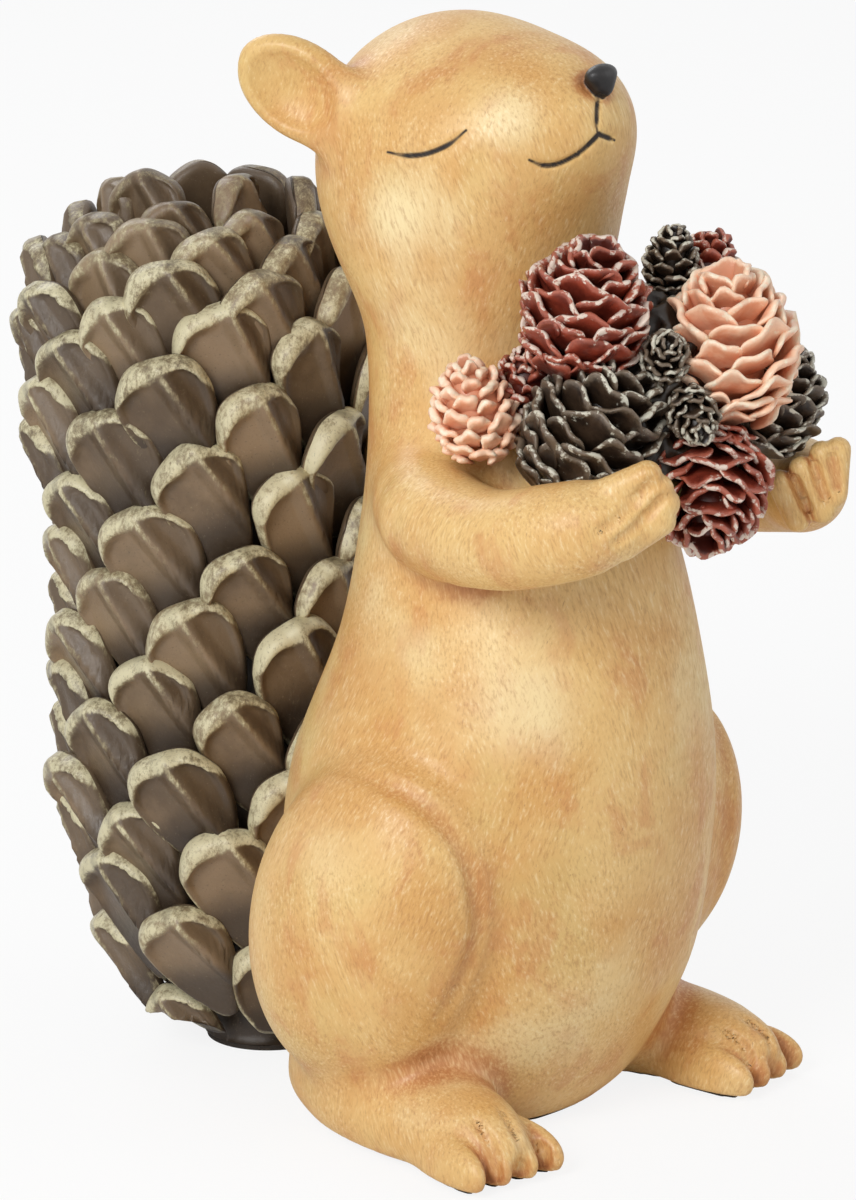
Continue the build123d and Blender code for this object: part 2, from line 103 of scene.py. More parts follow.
def turned(q, tilt, turn):
    """Points in the frame of a piece that was tilted about X and then turned about Z."""
    c, s = cos_sin(turn)
    x, y, z = c * q[:, 0] + s * q[:, 1], c * q[:, 1] - s * q[:, 0], q[:, 2]
    c, s = cos_sin(tilt)
    return np.stack([x, c * y + s * z, c * z - s * y], 1)


def ellipsoid(p, centre, size, tilt=0, turn=0):
    q = turned(p - np.array(centre, p.dtype), tilt, turn)
    half = np.array(size, p.dtype) / 2
    k0 = np.sqrt(((q / half) ** 2).sum(1))
    k1 = np.sqrt(((q / half ** 2) ** 2).sum(1))
    return k0 * (k0 - 1) / np.maximum(k1, 1e-6)


def tube(p, line, radii, blend=3.0):
    """Distance to a chain of cones with round ends."""
    best = np.full(len(p), FAR, p.dtype)
    for a, b, ra, rb in zip(line, line[1:], radii, radii[1:]):
        ab = (b - a).astype(p.dtype)
        t = np.clip(((p - a.astype(p.dtype)) @ ab) / (ab @ ab), 0, 1)
        d = np.linalg.norm(p - (a + t[:, None] * ab), axis=1) - (ra + (rb - ra) * t)
        best = smooth_min(best, d, blend)
    return best


class Field:
    """A solid as a list of pieces, each with its own box, blended one after another."""

    MARGIN = 4

    def __init__(self):
        self.steps = []

    def add(self, shape, low, high, blend, cut=False):
        margin = blend + self.MARGIN
        self.steps.append((shape, np.array(low) - margin, np.array(high) + margin, blend, cut))

    def blob(self, centre, size, blend, tilt=0, turn=0, cut=False):
        reach = max(size) / 2
        low = np.array(centre) - reach
        high = np.array(centre) + reach
        self.add(lambda p: ellipsoid(p, centre, size, tilt, turn), low, high, blend, cut)

    def __call__(self, p):
        d = np.full(len(p), FAR, p.dtype)
        for shape, low, high, blend, cut in self.steps:
            near = np.all((p > low) & (p < high), axis=1)
            if near.any():
                mine = shape(p[near])
                if cut:
                    d[near] = smooth_max(d[near], -mine, blend)
                else:
                    d[near] = smooth_min(d[near], mine, blend)
        return d


def gradient(field, p, step=0.15):
    return np.stack([(field(p + move) - field(p - move)) / (2 * step) for move in step * np.eye(3)], 1)


def settle(field, p, rounds=2, least_slope=0.04, longest=1.2):
    """Points moved onto the surface of a field, and the normals there."""
    for _ in range(rounds):
        g = gradient(field, p)
        move = field(p) / np.maximum((g * g).sum(1), least_slope)
        p = p - g * np.clip(move, -longest, longest)[:, None]
    g = gradient(field, p)
    return p, g / np.maximum(np.linalg.norm(g, axis=1), 1e-6)[:, None]


def close_to(points, line, reach):
    """Indexes of the points that lie in a line's box, grown by the reach."""
    inside = (points > line.min(0) - reach) & (points < line.max(0) + reach)
    return np.flatnonzero(np.all(inside, axis=1))


def gaps_to(points, line):
    """The distance from each point to each point of a line."""
    return np.linalg.norm(points[:, None, :] - line[None], axis=2)


def surface_net(field, low, high, step):
    """Vertices and four-sided faces of the field's surface, from the cells of a grid that it crosses."""
    low = np.array(low, float)
    counts = np.ceil((np.array(high) - low) / step).astype(int) + 1
    axes = [low[i] + step * np.arange(counts[i]) for i in range(3)]
    values = np.empty(counts, np.float32)
    for i, x in enumerate(axes[0]):
        yy, zz = np.meshgrid(axes[1], axes[2], indexing="ij")
        p = np.stack([np.full(yy.size, x), yy.ravel(), zz.ravel()], 1).astype(np.float32)
        values[i] = field(p).reshape(counts[1:])
    inside = (values < 0).astype(np.int8)
    cells = counts - 1

    def corner(array, i, j, k):
        return array[i:cells[0] + i, j:cells[1] + j, k:cells[2] + k]

    total = sum(corner(inside, *spot) for spot in np.ndindex(2, 2, 2))
    active = (total > 0) & (total < 8)
    index = np.full(cells, -1, np.int64)
    index[active] = np.arange(active.sum())
    where = np.argwhere(active)
    sums = np.zeros((len(where), 3))
    hits = np.zeros(len(where))
    for axis in range(3):
        for i, j in np.ndindex(2, 2):
            start = [0, 0, 0]
            start[(axis + 1) % 3], start[(axis + 2) % 3] = i, j
            end = list(start)
            end[axis] = 1
            va = corner(values, *start)[active].astype(float)
            vb = corner(values, *end)[active].astype(float)
            crossing = (va < 0) != (vb < 0)
            spot = np.array(start, float)[None, :].repeat(len(where), 0)
            spot[:, axis] += np.where(crossing, va / np.where(crossing, va - vb, 1), 0)
            sums += np.where(crossing[:, None], spot, 0)
            hits += crossing
    faces = []
    for axis in range(3):
        u, v = (axis + 1) % 3, (axis + 2) % 3
        spots = np.argwhere(np.diff(inside, axis=axis))
        between = (spots[:, [u, v]] > 0) & (spots[:, [u, v]] < cells[[u, v]])
        spots = spots[between.all(1)]
        solid = inside[tuple(spots.T)] > 0
        quad = []
        for du, dv in ((1, 1), (0, 1), (0, 0), (1, 0)):
            cell = spots.copy()
            cell[:, u] -= du
            cell[:, v] -= dv
            quad.append(index[tuple(cell.T)])
        quad = np.stack(quad, 1)
        faces.append(np.where(solid[:, None], quad, quad[:, ::-1]))
    return low + step * (where + sums / hits[:, None]), np.concatenate(faces)


# Meshes

def place(name, data):
    obj = bpy.data.objects.new(name, data)
    bpy.context.collection.objects.link(obj)
    return obj


def show(name, node, material, slot, vertices, faces, values=None):
    """A piece in place of a solid, from points in millimetres, kept in the CAD box. It is smooth where it
    has values that its material reads."""
    mesh = bpy.data.meshes.new(name)
    points = np.clip(np.asarray(vertices, float) * MM, cad_box[0], cad_box[1])
    mesh.from_pydata(points.tolist(), [], [list(map(int, f)) for f in faces])
    for key, data in (values or {}).items():
        attribute = mesh.attributes.new(key, "FLOAT", "POINT")
        attribute.data.foreach_set("value", np.asarray(data, np.float32))
    if values:
        mesh.shade_smooth()
    mesh.materials.append(material)
    piece = place(name, mesh)
    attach(piece, "root")
    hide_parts(node)


def disc_grid(count):
    """A square grid mapped on the unit disc, front and back joined at the border."""
    line = np.linspace(-1, 1, count)
    line = (line + 2 * np.sin(line * math.pi / 2)) / 3
    u, v = [a.ravel() for a in np.meshgrid(line, line, indexing="ij")]
    a = u * np.sqrt(1 - v * v / 2)
    b = v * np.sqrt(1 - u * u / 2)
    ids = np.arange(count * count).reshape(count, count)
    border = np.maximum(np.abs(u), np.abs(v)) > 1 - 1e-9
    back = np.full(count * count, -1)
    back[border] = ids.ravel()[border]
    back[~border] = count * count + np.arange((~border).sum())
    back = back.reshape(count, count)
    faces = []
    for i in range(count - 1):
        for j in range(count - 1):
            faces.append((ids[i, j], ids[i + 1, j], ids[i + 1, j + 1], ids[i, j + 1]))
            faces.append((back[i, j], back[i, j + 1], back[i + 1, j + 1], back[i + 1, j]))
    return a, b, ~border, np.array(faces)


class Pile:
    """Shapes gathered in one mesh, with their values for materials: one for each point, or one for all."""

    def __init__(self, *keys):
        self.points, self.faces, self.start = [], [], 0
        self.values = {key: [] for key in keys}

    def add(self, points, faces, **values):
        self.points.append(points)
        self.faces += [[int(i) + self.start for i in face] for face in faces]
        self.start += len(points)
        for key, parts in self.values.items():
            parts.append(np.broadcast_to(np.asarray(values[key], float), len(points)))

    def joined(self):
        return np.concatenate(self.points), {key: np.concatenate(p) for key, p in self.values.items()}


# The squirrel

TORSO_HEIGHT, TORSO_WIDTH, TORSO_DEPTH = 262, 124, 112
# Shares up the height, of the depth that the middle lies forward, of the width and of the depth
TORSO = np.array([
    (0.00, 0.04, 0.66, 0.64), (0.046, 0.07, 0.84, 0.79), (0.153, 0.125, 0.97, 0.945),
    (0.267, 0.152, 1.00, 1.00), (0.382, 0.179, 0.96, 0.99), (0.515, 0.223, 0.785, 0.86),
    (0.63, 0.214, 0.65, 0.77), (0.725, 0.170, 0.565, 0.66), (0.81, 0.116, 0.50, 0.59),
    (0.90, 0.095, 0.54, 0.64), (1.00, 0.045, 0.57, 0.64)])
TORSO_LINE = catmull(TORSO, 120)
TORSO_TOP, TORSO_ROUND, TORSO_BLEND = 250, 24, 4
TORSO_BOX = (-62, -75, 0), (62, 40, 262)
FELT, SEAT, RIM_ROUND = 1.5, 35, 1.2

# The skull, brow, jaw and muzzle: each one's middle, size, blend and tilt
HEAD = (
    ((0, -5.6, 262.5), (77, 82, 76), 18, 0),
    ((0, -24.3, 271.2), (62, 54, 44), 10, 0),
    ((0, -21.5, 258), (56, 50, 52), 13, 0),
    ((0, -28.6, 271.5), (48.5, 55, 43), 8, -16),
)
EAR_MIDDLE, LEFT_EAR_DROP = (39, 18.9, 281.2), 5.5
EAR_TURN, EAR_TILT, EAR_BLEND, EAR_REACH = 28, 33, 8, 20
# Along the ear, across it and outwards
EAR_SPOT, EAR_SIZE = (0, 0.3, -2.2), (38.5, 25.8, 12)
CUP_SPOT, CUP_SIZE, CUP_BLEND = (-2.4, -0.6, 3.2), (29, 19.5, 12), 2
NOSE = np.array((-0.9, -53.5, 288.4))
NOSE_TOP, NOSE_TOP_SIZE = (0, 0.5, 1.2), (10.4, 7.2, 5.8)
NOSE_LOW, NOSE_LOW_SIZE = (0, 0.2, -1.6), (5.6, 6.2, 6.4)
NOSE_TILT, NOSE_ROUND, NOSE_BLEND, NOSE_REACH = -26, 3.0, 1.0, 8

THIGH_MIDDLE, THIGH_SIZE = (51.5, -18, 64), (54, 72, 100)
THIGH_TILT, THIGH_BLEND, LEFT_THIGH_RISE = 22, 4, 3
FOOT_MIDDLE, FOOT_TURN = (47.5, -29.5), 9
INSTEP, INSTEP_SIZE, INSTEP_BLEND = (0, 2.5, 12), (33, 91, 30), 9
TOE_COUNT, TOE_SPAN, TOE_FORWARD, TOE_HEIGHT, TOE_FAN = 4, 23.5, 27, 7, 5
TOE_SIZE, TOE_BLEND = (9.6, 34, 16.5), 2.4

ARM_DIAMETER, ARM_REACH, ARM_SPREAD, ARM_BLEND = 32, 87, 51, 7
SHOULDER_HEIGHT, SHOULDER_FORWARD, ARM_RISE, LEFT_DROP = 178, 13, 24, 7
LEFT_HAND_INWARD, INWARD_FROM = 3, 0.8
ARM_STEPS, ARM_MARGIN = 16, 17
# Shares of the spread, the reach, the rise and the diameter
ARM = ((0.45, 0.00, 0.02, 0.90), (0.84, 0.22, -0.14, 0.89), (1.00, 0.53, -0.13, 0.77),
       (0.98, 0.74, 0.05, 0.76), (0.90, 0.86, 0.18, 0.70), (0.82, 0.92, 0.28, 0.45))
# Each palm's place from the arm's end, and its size
PALMS = {-1: ((0, 0, 0), (17, 18, 18)), 1: ((2, 3.5, -1.5), (16, 16, 17))}
PALM_BLEND = 4
# Each finger's root and tip. The photograph shows the right hand's back and the left hand's front.
FINGERS = {
    -1: (((-48.5, -87, 188.5), (-40, -101.5, 197)), ((-48, -92, 183.5), (-37, -103, 193)),
         ((-45.5, -95, 179.5), (-35, -103.5, 189)), ((-42.5, -96, 178.5), (-36, -103, 184.5))),
    1: (((30.2, -95.9, 171.2), (27, -92.3, 181)), ((34.1, -101, 173.6), (30.5, -96.8, 185)),
        ((35.6, -102.8, 177.6), (34, -100.8, 189)), ((36.6, -103, 178.4), (37, -103.9, 190)))}
FINGER_DIAMETER = {-1: 8.6, 1: 7.4}
FINGER_TIP_SHARE, FINGER_BLEND, FINGER_MARGIN = 0.46, 1.1, 5

# The closed eye and the mouth, on the squirrel's right, near the surface
EYE = [(-37.7, -10.9, 269.1), (-37.4, -16.8, 268.9), (-36.4, -22.9, 270.1), (-34.2, -28.6, 273),
       (-31.1, -32.3, 276.8)]
MOUTH = [(-5.3, -57.7, 275), (-11, -56.1, 270.5), (-16.6, -53.1, 267.7), (-20.4, -50.4, 267.5),
         (-23.2, -47.7, 269.3)]
MOUTH_LEFT = [(-5.3, -57.7, 275), (-2.2, -58.1, 273.7), (1.2, -58, 272.3)]
LIP = [(-2.7, -55.6, 284.4), (-4.5, -56.4, 280.8), (-5.7, -57.5, 276)]
# The fold in front of the thigh, the grooves between the toes, and the lines on the hands
THIGH_LINE = [(-60.4, -12.8, 106.5), (-63.5, -29.7, 106.9), (-61.4, -42.2, 103.1), (-58.2, -49.5, 97),
              (-55.2, -54.2, 88.1), (-53.7, -56.1, 77.7), (-52.6, -55.9, 68.3), (-54.1, -54.1, 59.1),
              (-56.4, -49.8, 48.2), (-58.5, -44.2, 39.5)]
TOE_LINES = [[(-59.1, -58.5, 19), (-60.2, -66, 13.8), (-60.7, -68.8, 8.4), (-60.5, -69.5, 3.2)],
             [(-50.8, -61.1, 20.5), (-53.6, -69.7, 15.4), (-53.1, -71.8, 8.5), (-52.5, -71, 2)],
             [(-43.6, -61, 18.5), (-45.2, -69, 13.4), (-44.6, -71.9, 8), (-44, -71, 2.6)]]
RIGHT_HAND_LINES = [
    [(-40.5, -105.3, 198.1), (-42.7, -104.1, 194.9), (-45.5, -101.5, 190.2), (-50.9, -99, 185.8),
     (-55.2, -96, 182.5)],
    [(-37.2, -106.9, 193.5), (-39.7, -105.7, 190.4), (-43.2, -103.6, 185.9), (-47.5, -101.5, 182.4),
     (-51.2, -98.6, 179.5)]]
LEFT_HAND_LINES = [[(26.9, -96.2, 184), (28.8, -98, 178.5), (30.3, -100, 173)],
                   [(30.4, -100.4, 188), (32, -102.2, 182), (33.4, -103.9, 176.2)],
                   [(33.6, -104, 190), (34.4, -104.8, 184), (35, -105.4, 178.2)]]
# Each kind of groove: its width, its depth and how much painted shade lies in it
FACE_GROOVE, TOE_GROOVE, THIGH_GROOVE = (0.9, 0.9, 0.25), (1.4, 1.6, 0.3), (2.4, 3.1, 0.46)
RIGHT_HAND_GROOVE, LEFT_HAND_GROOVE = (1.5, 1.7, 0.36), (1.4, 2.3, 0.6)

# The body's grid, and how near a fine line or the nose its faces are divided
BODY_LOW, BODY_HIGH = (-80, -116, -3), (80, 42, 306)
BODY_STEP = 1.15
FINE_REACH, FINE_CUTS = 3.2, 3
SOLE_INSET, SOLE_STEP, SOLE_TOP, HOVER = 2.2, 1.2, 3.3, 0.02

# Painted shade in hollows: how far off a hollow's walls are looked for and how much that counts, less so at
# the ears
HOLLOWS = ((3.0, 0.35), (8.0, 0.6))
EAR_LEVEL, EAR_OUT, EAR_SHARE = 262, 31, 0.55
INK_EDGE, INK_TAPER, NOSE_EDGE = (0.68, 0.98), 0.5, (0.25, 0.6)
# Painted highlights: spots painted paler on the cheeks, belly and thigh, each with its reach
PAINTED_HIGHLIGHTS = (((-25, -42, 281), 10), ((25, -42, 281), 10), ((-39, -14, 252), 11), ((39, -14, 252), 11),
        ((-40, -60, 128), 16), ((-66, -22, 84), 13))


def torso_shape(p):
    heights = TORSO_LINE[:, 0] * TORSO_HEIGHT
    z = np.clip(p[:, 2], 0, TORSO_HEIGHT)
    middle, wide, deep = [np.interp(z, heights, column) for column in TORSO_LINE.T[1:]]
    wide, deep = TORSO_WIDTH / 2 * wide, TORSO_DEPTH / 2 * deep
    x, y = p[:, 0], p[:, 1] + TORSO_DEPTH * middle
    k0 = np.sqrt((x / wide) ** 2 + (y / deep) ** 2)
    k1 = np.sqrt((x / wide ** 2) ** 2 + (y / deep ** 2) ** 2)
    d = k0 * (k0 - 1) / np.maximum(k1, 1e-6)
    return smooth_max(d, p[:, 2] - TORSO_TOP, TORSO_ROUND).astype(p.dtype)


def arm_line(side):
    line, radii = [], []
    for spread, reach, rise, thickness in ARM:
        drop = LEFT_DROP * reach if side > 0 else 0
        inward = LEFT_HAND_INWARD if side > 0 and reach > INWARD_FROM else 0
        line.append((side * ARM_SPREAD * spread - inward, -SHOULDER_FORWARD - ARM_REACH * reach,
                     SHOULDER_HEIGHT + ARM_RISE * rise - drop))
        radii.append(ARM_DIAMETER / 2 * thickness)
    steps = np.linspace(0, len(radii) - 1, ARM_STEPS)
    return catmull(line, ARM_STEPS), np.interp(steps, range(len(radii)), radii)


def add_ear(field, side):
    """A leaf-like ear with a cup in its outer face, its long axis falling towards the head."""
    x, y, z = EAR_MIDDLE
    centre = np.array((side * x, y, z - (LEFT_EAR_DROP if side > 0 else 0)))
    c, s = cos_sin(EAR_TURN)
    axis = np.array((side * c, -s, 0))
    forward = np.array((side * axis[1], -side * axis[0], 0))
    up = np.array((0, 0, 1))
    c, s = cos_sin(EAR_TILT)
    along, across = forward * c - up * s, forward * s + up * c

    def shape(p):
        q = p - centre.astype(p.dtype)
        local = np.stack([q @ along, q @ across, q @ axis], 1)
        outer = ellipsoid(local, EAR_SPOT, EAR_SIZE)
        cup = ellipsoid(local, CUP_SPOT, CUP_SIZE)
        return smooth_max(outer, -cup, CUP_BLEND).astype(p.dtype)

    field.add(shape, centre - EAR_REACH, centre + EAR_REACH, EAR_BLEND)


def nose_shape(p):
    """The nose: wide at the top and narrow above the lip."""
    top = ellipsoid(p, NOSE + NOSE_TOP, NOSE_TOP_SIZE, tilt=NOSE_TILT)
    low = ellipsoid(p, NOSE + NOSE_LOW, NOSE_LOW_SIZE, tilt=NOSE_TILT)
    return smooth_min(top, low, NOSE_ROUND)


def add_tube(field, line, radii, margin, blend):
    field.add(lambda p: tube(p, line, radii), line.min(0) - margin, line.max(0) + margin, blend)


def add_leg(field, side):
    """A thigh, and a foot with its toes."""
    rise = LEFT_THIGH_RISE if side > 0 else 0
    x, y, z = THIGH_MIDDLE
    width, depth, height = THIGH_SIZE
    field.blob((side * x, y, z + rise), (width, depth, height - 2 * rise), THIGH_BLEND, tilt=THIGH_TILT)
    foot = np.array((side * FOOT_MIDDLE[0], FOOT_MIDDLE[1], -FELT))
    turn = side * FOOT_TURN
    c, s = cos_sin(turn)
    field.blob(foot + INSTEP, INSTEP_SIZE, INSTEP_BLEND, turn=turn)
    for index in range(TOE_COUNT):
        across = index - (TOE_COUNT - 1) / 2
        x, y = across * TOE_SPAN / (TOE_COUNT - 1), -TOE_FORWARD
        spot = foot + (c * x - s * y, s * x + c * y, TOE_HEIGHT)
        field.blob(spot, TOE_SIZE, TOE_BLEND, turn=turn + across * TOE_FAN)


def add_arm(field, side):
    """An arm, its palm and its fingers."""
    line, radii = arm_line(side)
    add_tube(field, line, radii, ARM_MARGIN, ARM_BLEND)
    offset, size = PALMS[side]
    field.blob(line[-1] + offset, size, PALM_BLEND)
    for finger in np.array(FINGERS[side], float):
        radii = (FINGER_DIAMETER[side] / 2, FINGER_DIAMETER[side] * FINGER_TIP_SHARE)
        add_tube(field, finger, radii, FINGER_MARGIN, FINGER_BLEND)


def make_body_field():
    field = Field()
    field.add(torso_shape, *TORSO_BOX, TORSO_BLEND)
    for centre, size, blend, tilt in HEAD:
        field.blob(centre, size, blend, tilt)
    for add in (add_ear, add_leg, add_arm):
        for side in (-1, 1):
            add(field, side)
    field.add(nose_shape, NOSE - NOSE_REACH, NOSE + NOSE_REACH, NOSE_BLEND)
    field.limits = [lambda p: p[:, 1] - SEAT, lambda p: FELT - p[:, 2]]
    return field


def line_share(points, line, width):
    """How close points lie to a line, from 0 to 1, less towards the line's two ends."""
    gaps = gaps_to(points, line)
    nearest = gaps.argmin(1)
    along = nearest / (len(line) - 1)
    taper = smoothstep(-0.05, 0.22, along) * smoothstep(1.05, 0.78, along)
    return np.exp(-(gaps[np.arange(len(points)), nearest] / width) ** 2) * taper


class Cast:
    """The body's field with its flat seat and sole, and its grooves: line, width, depth and painted shade.
    """

    def __init__(self, field, grooves=()):
        self.field, self.grooves = field, grooves

    def __call__(self, p):
        d = self.field(p)
        for line, width, depth, _ in self.grooves:
            near = close_to(p, line, 3 * width)
            if len(near):
                d[near] = d[near] + depth * line_share(p[near], line, width)
        for limit in self.field.limits:
            d = smooth_max(d, limit(p).astype(p.dtype), RIM_ROUND)
        return d


def mirrored(line):
    return line * np.array((-1, 1, 1))


BODY = Cast(make_body_field())


def body_grooves():
    """The face's lines, and all the body's grooves: the fine ones and the broad ones."""
    def laid(points, count):
        return settle(BODY, catmull(points, count), 6)[0]

    eye = laid(EYE, 110)
    face = [eye, mirrored(eye), laid(MOUTH, 80), laid(MOUTH_LEFT, 30), laid(LIP, 40)]
    fine = [(line, *FACE_GROOVE) for line in face]
    for points in TOE_LINES:
        line = laid(points, 60)
        fine += [(line, *TOE_GROOVE), (mirrored(line), *TOE_GROOVE)]
    fine += [(laid(points, 80), *RIGHT_HAND_GROOVE) for points in RIGHT_HAND_LINES]
    fine += [(laid(points, 80), *LEFT_HAND_GROOVE) for points in LEFT_HAND_LINES]
    crease = laid(THIGH_LINE, 90)
    return face, fine, [(crease, *THIGH_GROOVE), (mirrored(crease), *THIGH_GROOVE)]


def divided(vertices, faces, lines):
    """The mesh with smaller faces near the given lines and the nose."""
    mesh = bpy.data.meshes.new("draft")
    mesh.from_pydata(vertices.tolist(), [], faces.tolist())
    bm = bmesh.new()
    bm.from_mesh(mesh)
    bpy.data.meshes.remove(mesh)
    points = np.array([v.co[:] for v in bm.verts])
    chosen = np.linalg.norm(points - NOSE, axis=1) < NOSE_REACH
    for line in lines:
        near = close_to(points, line, 4)
        chosen[near[gaps_to(points[near], line).min(1) < FINE_REACH]] = True
    edges = [e for e in bm.edges if chosen[e.verts[0].index] and chosen[e.verts[1].index]]
    bmesh.ops.subdivide_edges(bm, edges=edges, cuts=FINE_CUTS, use_grid_fill=True)
    bm.verts.ensure_lookup_table()
    vertices = np.array([v.co[:] for v in bm.verts])
    faces = [[v.index for v in f.verts] for f in bm.faces]
    bm.free()
    return vertices, faces


def make_body():
    face, fine, broad = body_grooves()
    cast = Cast(BODY.field, fine + broad)
    vertices, faces = surface_net(BODY, BODY_LOW, BODY_HIGH, BODY_STEP)
    vertices, _ = settle(BODY, vertices, 2)
    vertices, faces = divided(vertices, faces, [line for line, *_ in fine])
    vertices, normals = settle(cast, vertices, 3)
    return vertices, faces, paint_values(cast, vertices, normals, face)


def felt_sole():
    """The sole under the body, set back from its edge."""
    def shape(p):
        q = p.copy()
        q[:, 2] = FELT + 0.6
        return np.maximum(BODY.field(q) + SOLE_INSET, np.abs(p[:, 2] - FELT / 2) - FELT / 2)

    vertices, faces = surface_net(shape, (*BODY_LOW[:2], -FELT), (*BODY_HIGH[:2], SOLE_TOP), SOLE_STEP)
    vertices[:, 2] = np.clip(vertices[:, 2], HOVER, FELT)
    return vertices, faces


def paint_values(cast, vertices, normals, lines):
    """How deep each point lies in a hollow, for painted shade there and along the grooves, and where the
    eye, mouth, nose and painted highlights are painted.
    """
    crease = np.zeros(len(vertices))
    # Painted shade: the less room there is off the surface, the darker
    for reach, share in HOLLOWS:
        crease += share * (1 - np.clip(cast(vertices + normals * reach) / reach, 0, 1))
    crease[(vertices[:, 2] > EAR_LEVEL) & (np.abs(vertices[:, 0]) > EAR_OUT)] *= EAR_SHARE
    # Painted shade along each groove, in place of the hollow's own
    for line, width, _, groove_shade in cast.grooves:
        near = close_to(vertices, line, 9)
        own = crease[near] * (1 - 0.75 * line_share(vertices[near], line, 2 * width))
        crease[near] = np.maximum(own, groove_shade * line_share(vertices[near], line, 1.4 * width))
    ink = np.full(len(vertices), FAR)
    for index, line in enumerate(lines):
        near = close_to(vertices, line, 5)
        gap = gaps_to(vertices[near], line)
        along = gap.argmin(1) / (len(line) - 1)
        # The eyes come first, and thin out at both ends
        thin = 1 - smoothstep(1.05, 0.7, along) * (smoothstep(-0.05, 0.3, along) if index < 2 else 1)
        ink[near] = np.minimum(ink[near], gap.min(1) + INK_TAPER * thin)
    # Painted highlights on the cheeks, belly and thigh
    glow = sum(np.exp(-(((vertices - np.array(spot)) / size) ** 2).sum(1)) for spot, size in PAINTED_HIGHLIGHTS)
    return {"crease": crease, "ink": 1 - smoothstep(*INK_EDGE, ink),
            "nose": 1 - smoothstep(*NOSE_EDGE, nose_shape(vertices)), "glow": glow}


# The tail

TAIL_HEIGHT, TAIL_CORE, TAIL_LEAN, TAIL_BACK = 235, 91, 6.4, 68
# Shares of the height and of the width
TAIL = ((0.00, 0.28), (0.05, 0.45), (0.17, 0.79), (0.34, 0.94), (0.51, 0.85), (0.68, 0.84),
        (0.80, 0.92), (0.90, 0.88), (0.965, 0.63), (1.00, 0.28))
TAIL_STEPS, CORE_STEPS, CORE_SIDES = 240, 60, 72
CORE_DEPTH, CROWN_DEPTH, CORE_SHORT, CORE_LEAST = 3, 7, 9, 0.5
# The foot, its felt ring round the plug, and how far the scales stay off the floor
TAIL_FOOT, FOOT_SHARE, TAIL_PLUG, PLUG_GAP, FOOT_DROP = 17.6, 0.2, 13, 0.6, 5
FOOT_RING = (TAIL_PLUG + 1.2, TAIL_FOOT - 0.3)
SCALE_LIFT, EDGE_LIFT, EDGE_FROM, EDGE_TO = 5, 9.5, 13, 34
# The scales: how many, their size, and how they tilt, lean, nod and vary
TAIL_SCALES, SCALE_WIDTH, SCALE_LENGTH, SCALE_TILT = 134, 26, 40, 13
SLOPE_SHARE, SCALE_LEAN, SCALE_NOD, SCALE_SIZES = 0.34, (-22, -10), (-2, 2), (0.95, 1.05)
SCALE_SEAT, CROWN_LIFT, CROWD = 2, 1.5, 1.7
SCALE_WEAR = (0.75, 1.05)
# One scale: its narrow root, its tip and its back, its fold, its lip and its raised edge
ROOT_LOSS, ROOT_LENGTH, TIP_SHARE, SCALE_BACK = 0.3, 3, 0.9, 2.4
FOLD_PLACE, FOLD_SLANT, FOLD_HEIGHT, FOLD_FLOOR = (-1.0, 3.0), (0.16, 0.34), 5.8, 1.2
LIP_LEAST, LIP_MORE, LIP_MIDDLE, LIP_SPREAD, LIP_HEIGHT = 1.3, (3.0, 4.6), (1.75, 2.2), 0.85, 5.2
EDGE_HEIGHT, EDGE_WIDTH = 1.2, 1.6
SCALE_GRID = 21
UNPAINTED = 9.0


def tail_radius(height):
    heights, shares = np.array(TAIL).T
    return TAIL_CORE / 2 * np.interp(height / TAIL_HEIGHT, heights, shares)


def tail_tongue(rng):
    """One scale, its root at the origin, its tip up and its face towards -Y: two hollow sides that
    meet in a fold, under a thick lip that is widest at the upper left."""
    a, b, free, faces = disc_grid(SCALE_GRID)
    half = SCALE_WIDTH / 2
    up = b > 0
    tip = SCALE_LENGTH - half
    x = a * half * np.where(up, 1, 1 - ROOT_LOSS * np.abs(b) ** 1.5)
    z = np.where(up, tip + b * half * TIP_SHARE, tip + b * (tip + ROOT_LENGTH))
    radius = np.sqrt(a * a + b * b)
    angle = np.arctan2(b, a)
    lift = 1 + 0.05 * np.sin(2 * angle + rng.uniform(0, 6)) + 0.03 * np.sin(5 * angle + rng.uniform(0, 6))
    x, z = x * lift, tip + (z - tip) * np.where(up, lift, 1)
    fold = x - rng.uniform(*FOLD_PLACE) - (tip + half - z) * rng.uniform(*FOLD_SLANT)
    reach = np.where(fold > 0, half - (x - fold), half + (x - fold))
    side = np.clip(np.abs(fold) / np.maximum(reach, 3), 0, 1)
    gap = (1 - radius) * half
    more = rng.uniform(*LIP_MORE) * np.exp(-((angle - rng.uniform(*LIP_MIDDLE)) / LIP_SPREAD) ** 2)
    wide = LIP_LEAST + more
    shown = smoothstep(-0.5, 0.3, b)
    lip = smoothstep(1.5, 0.75, gap / wide) * shown
    height = (FOLD_FLOOR + FOLD_HEIGHT * (1 - side) ** 1.7) * (1 - lip) + (LIP_HEIGHT + 0.8 * b) * lip
    height = height + EDGE_HEIGHT * np.exp(-(gap / EDGE_WIDTH) ** 2) * (1 - lip)
    round_off = np.sqrt(np.clip(1 - radius ** 9, 0, 1))
    front = np.stack([x, -height * round_off, z], 1)
    back = np.stack([x, SCALE_BACK * round_off, z], 1)
    values = {"fold": fold, "lip": gap / wide + 2 * (1 - shown), "rim": gap + np.where(a > 0, 0.8, 0),
              "along": np.clip(z / SCALE_LENGTH, 0, 1)}
    for key, data in values.items():
        far = data[free] if key == "along" else np.full(free.sum(), UNPAINTED)
        values[key] = np.concatenate([data, far])
    return np.concatenate([front, back[free]]), faces, values


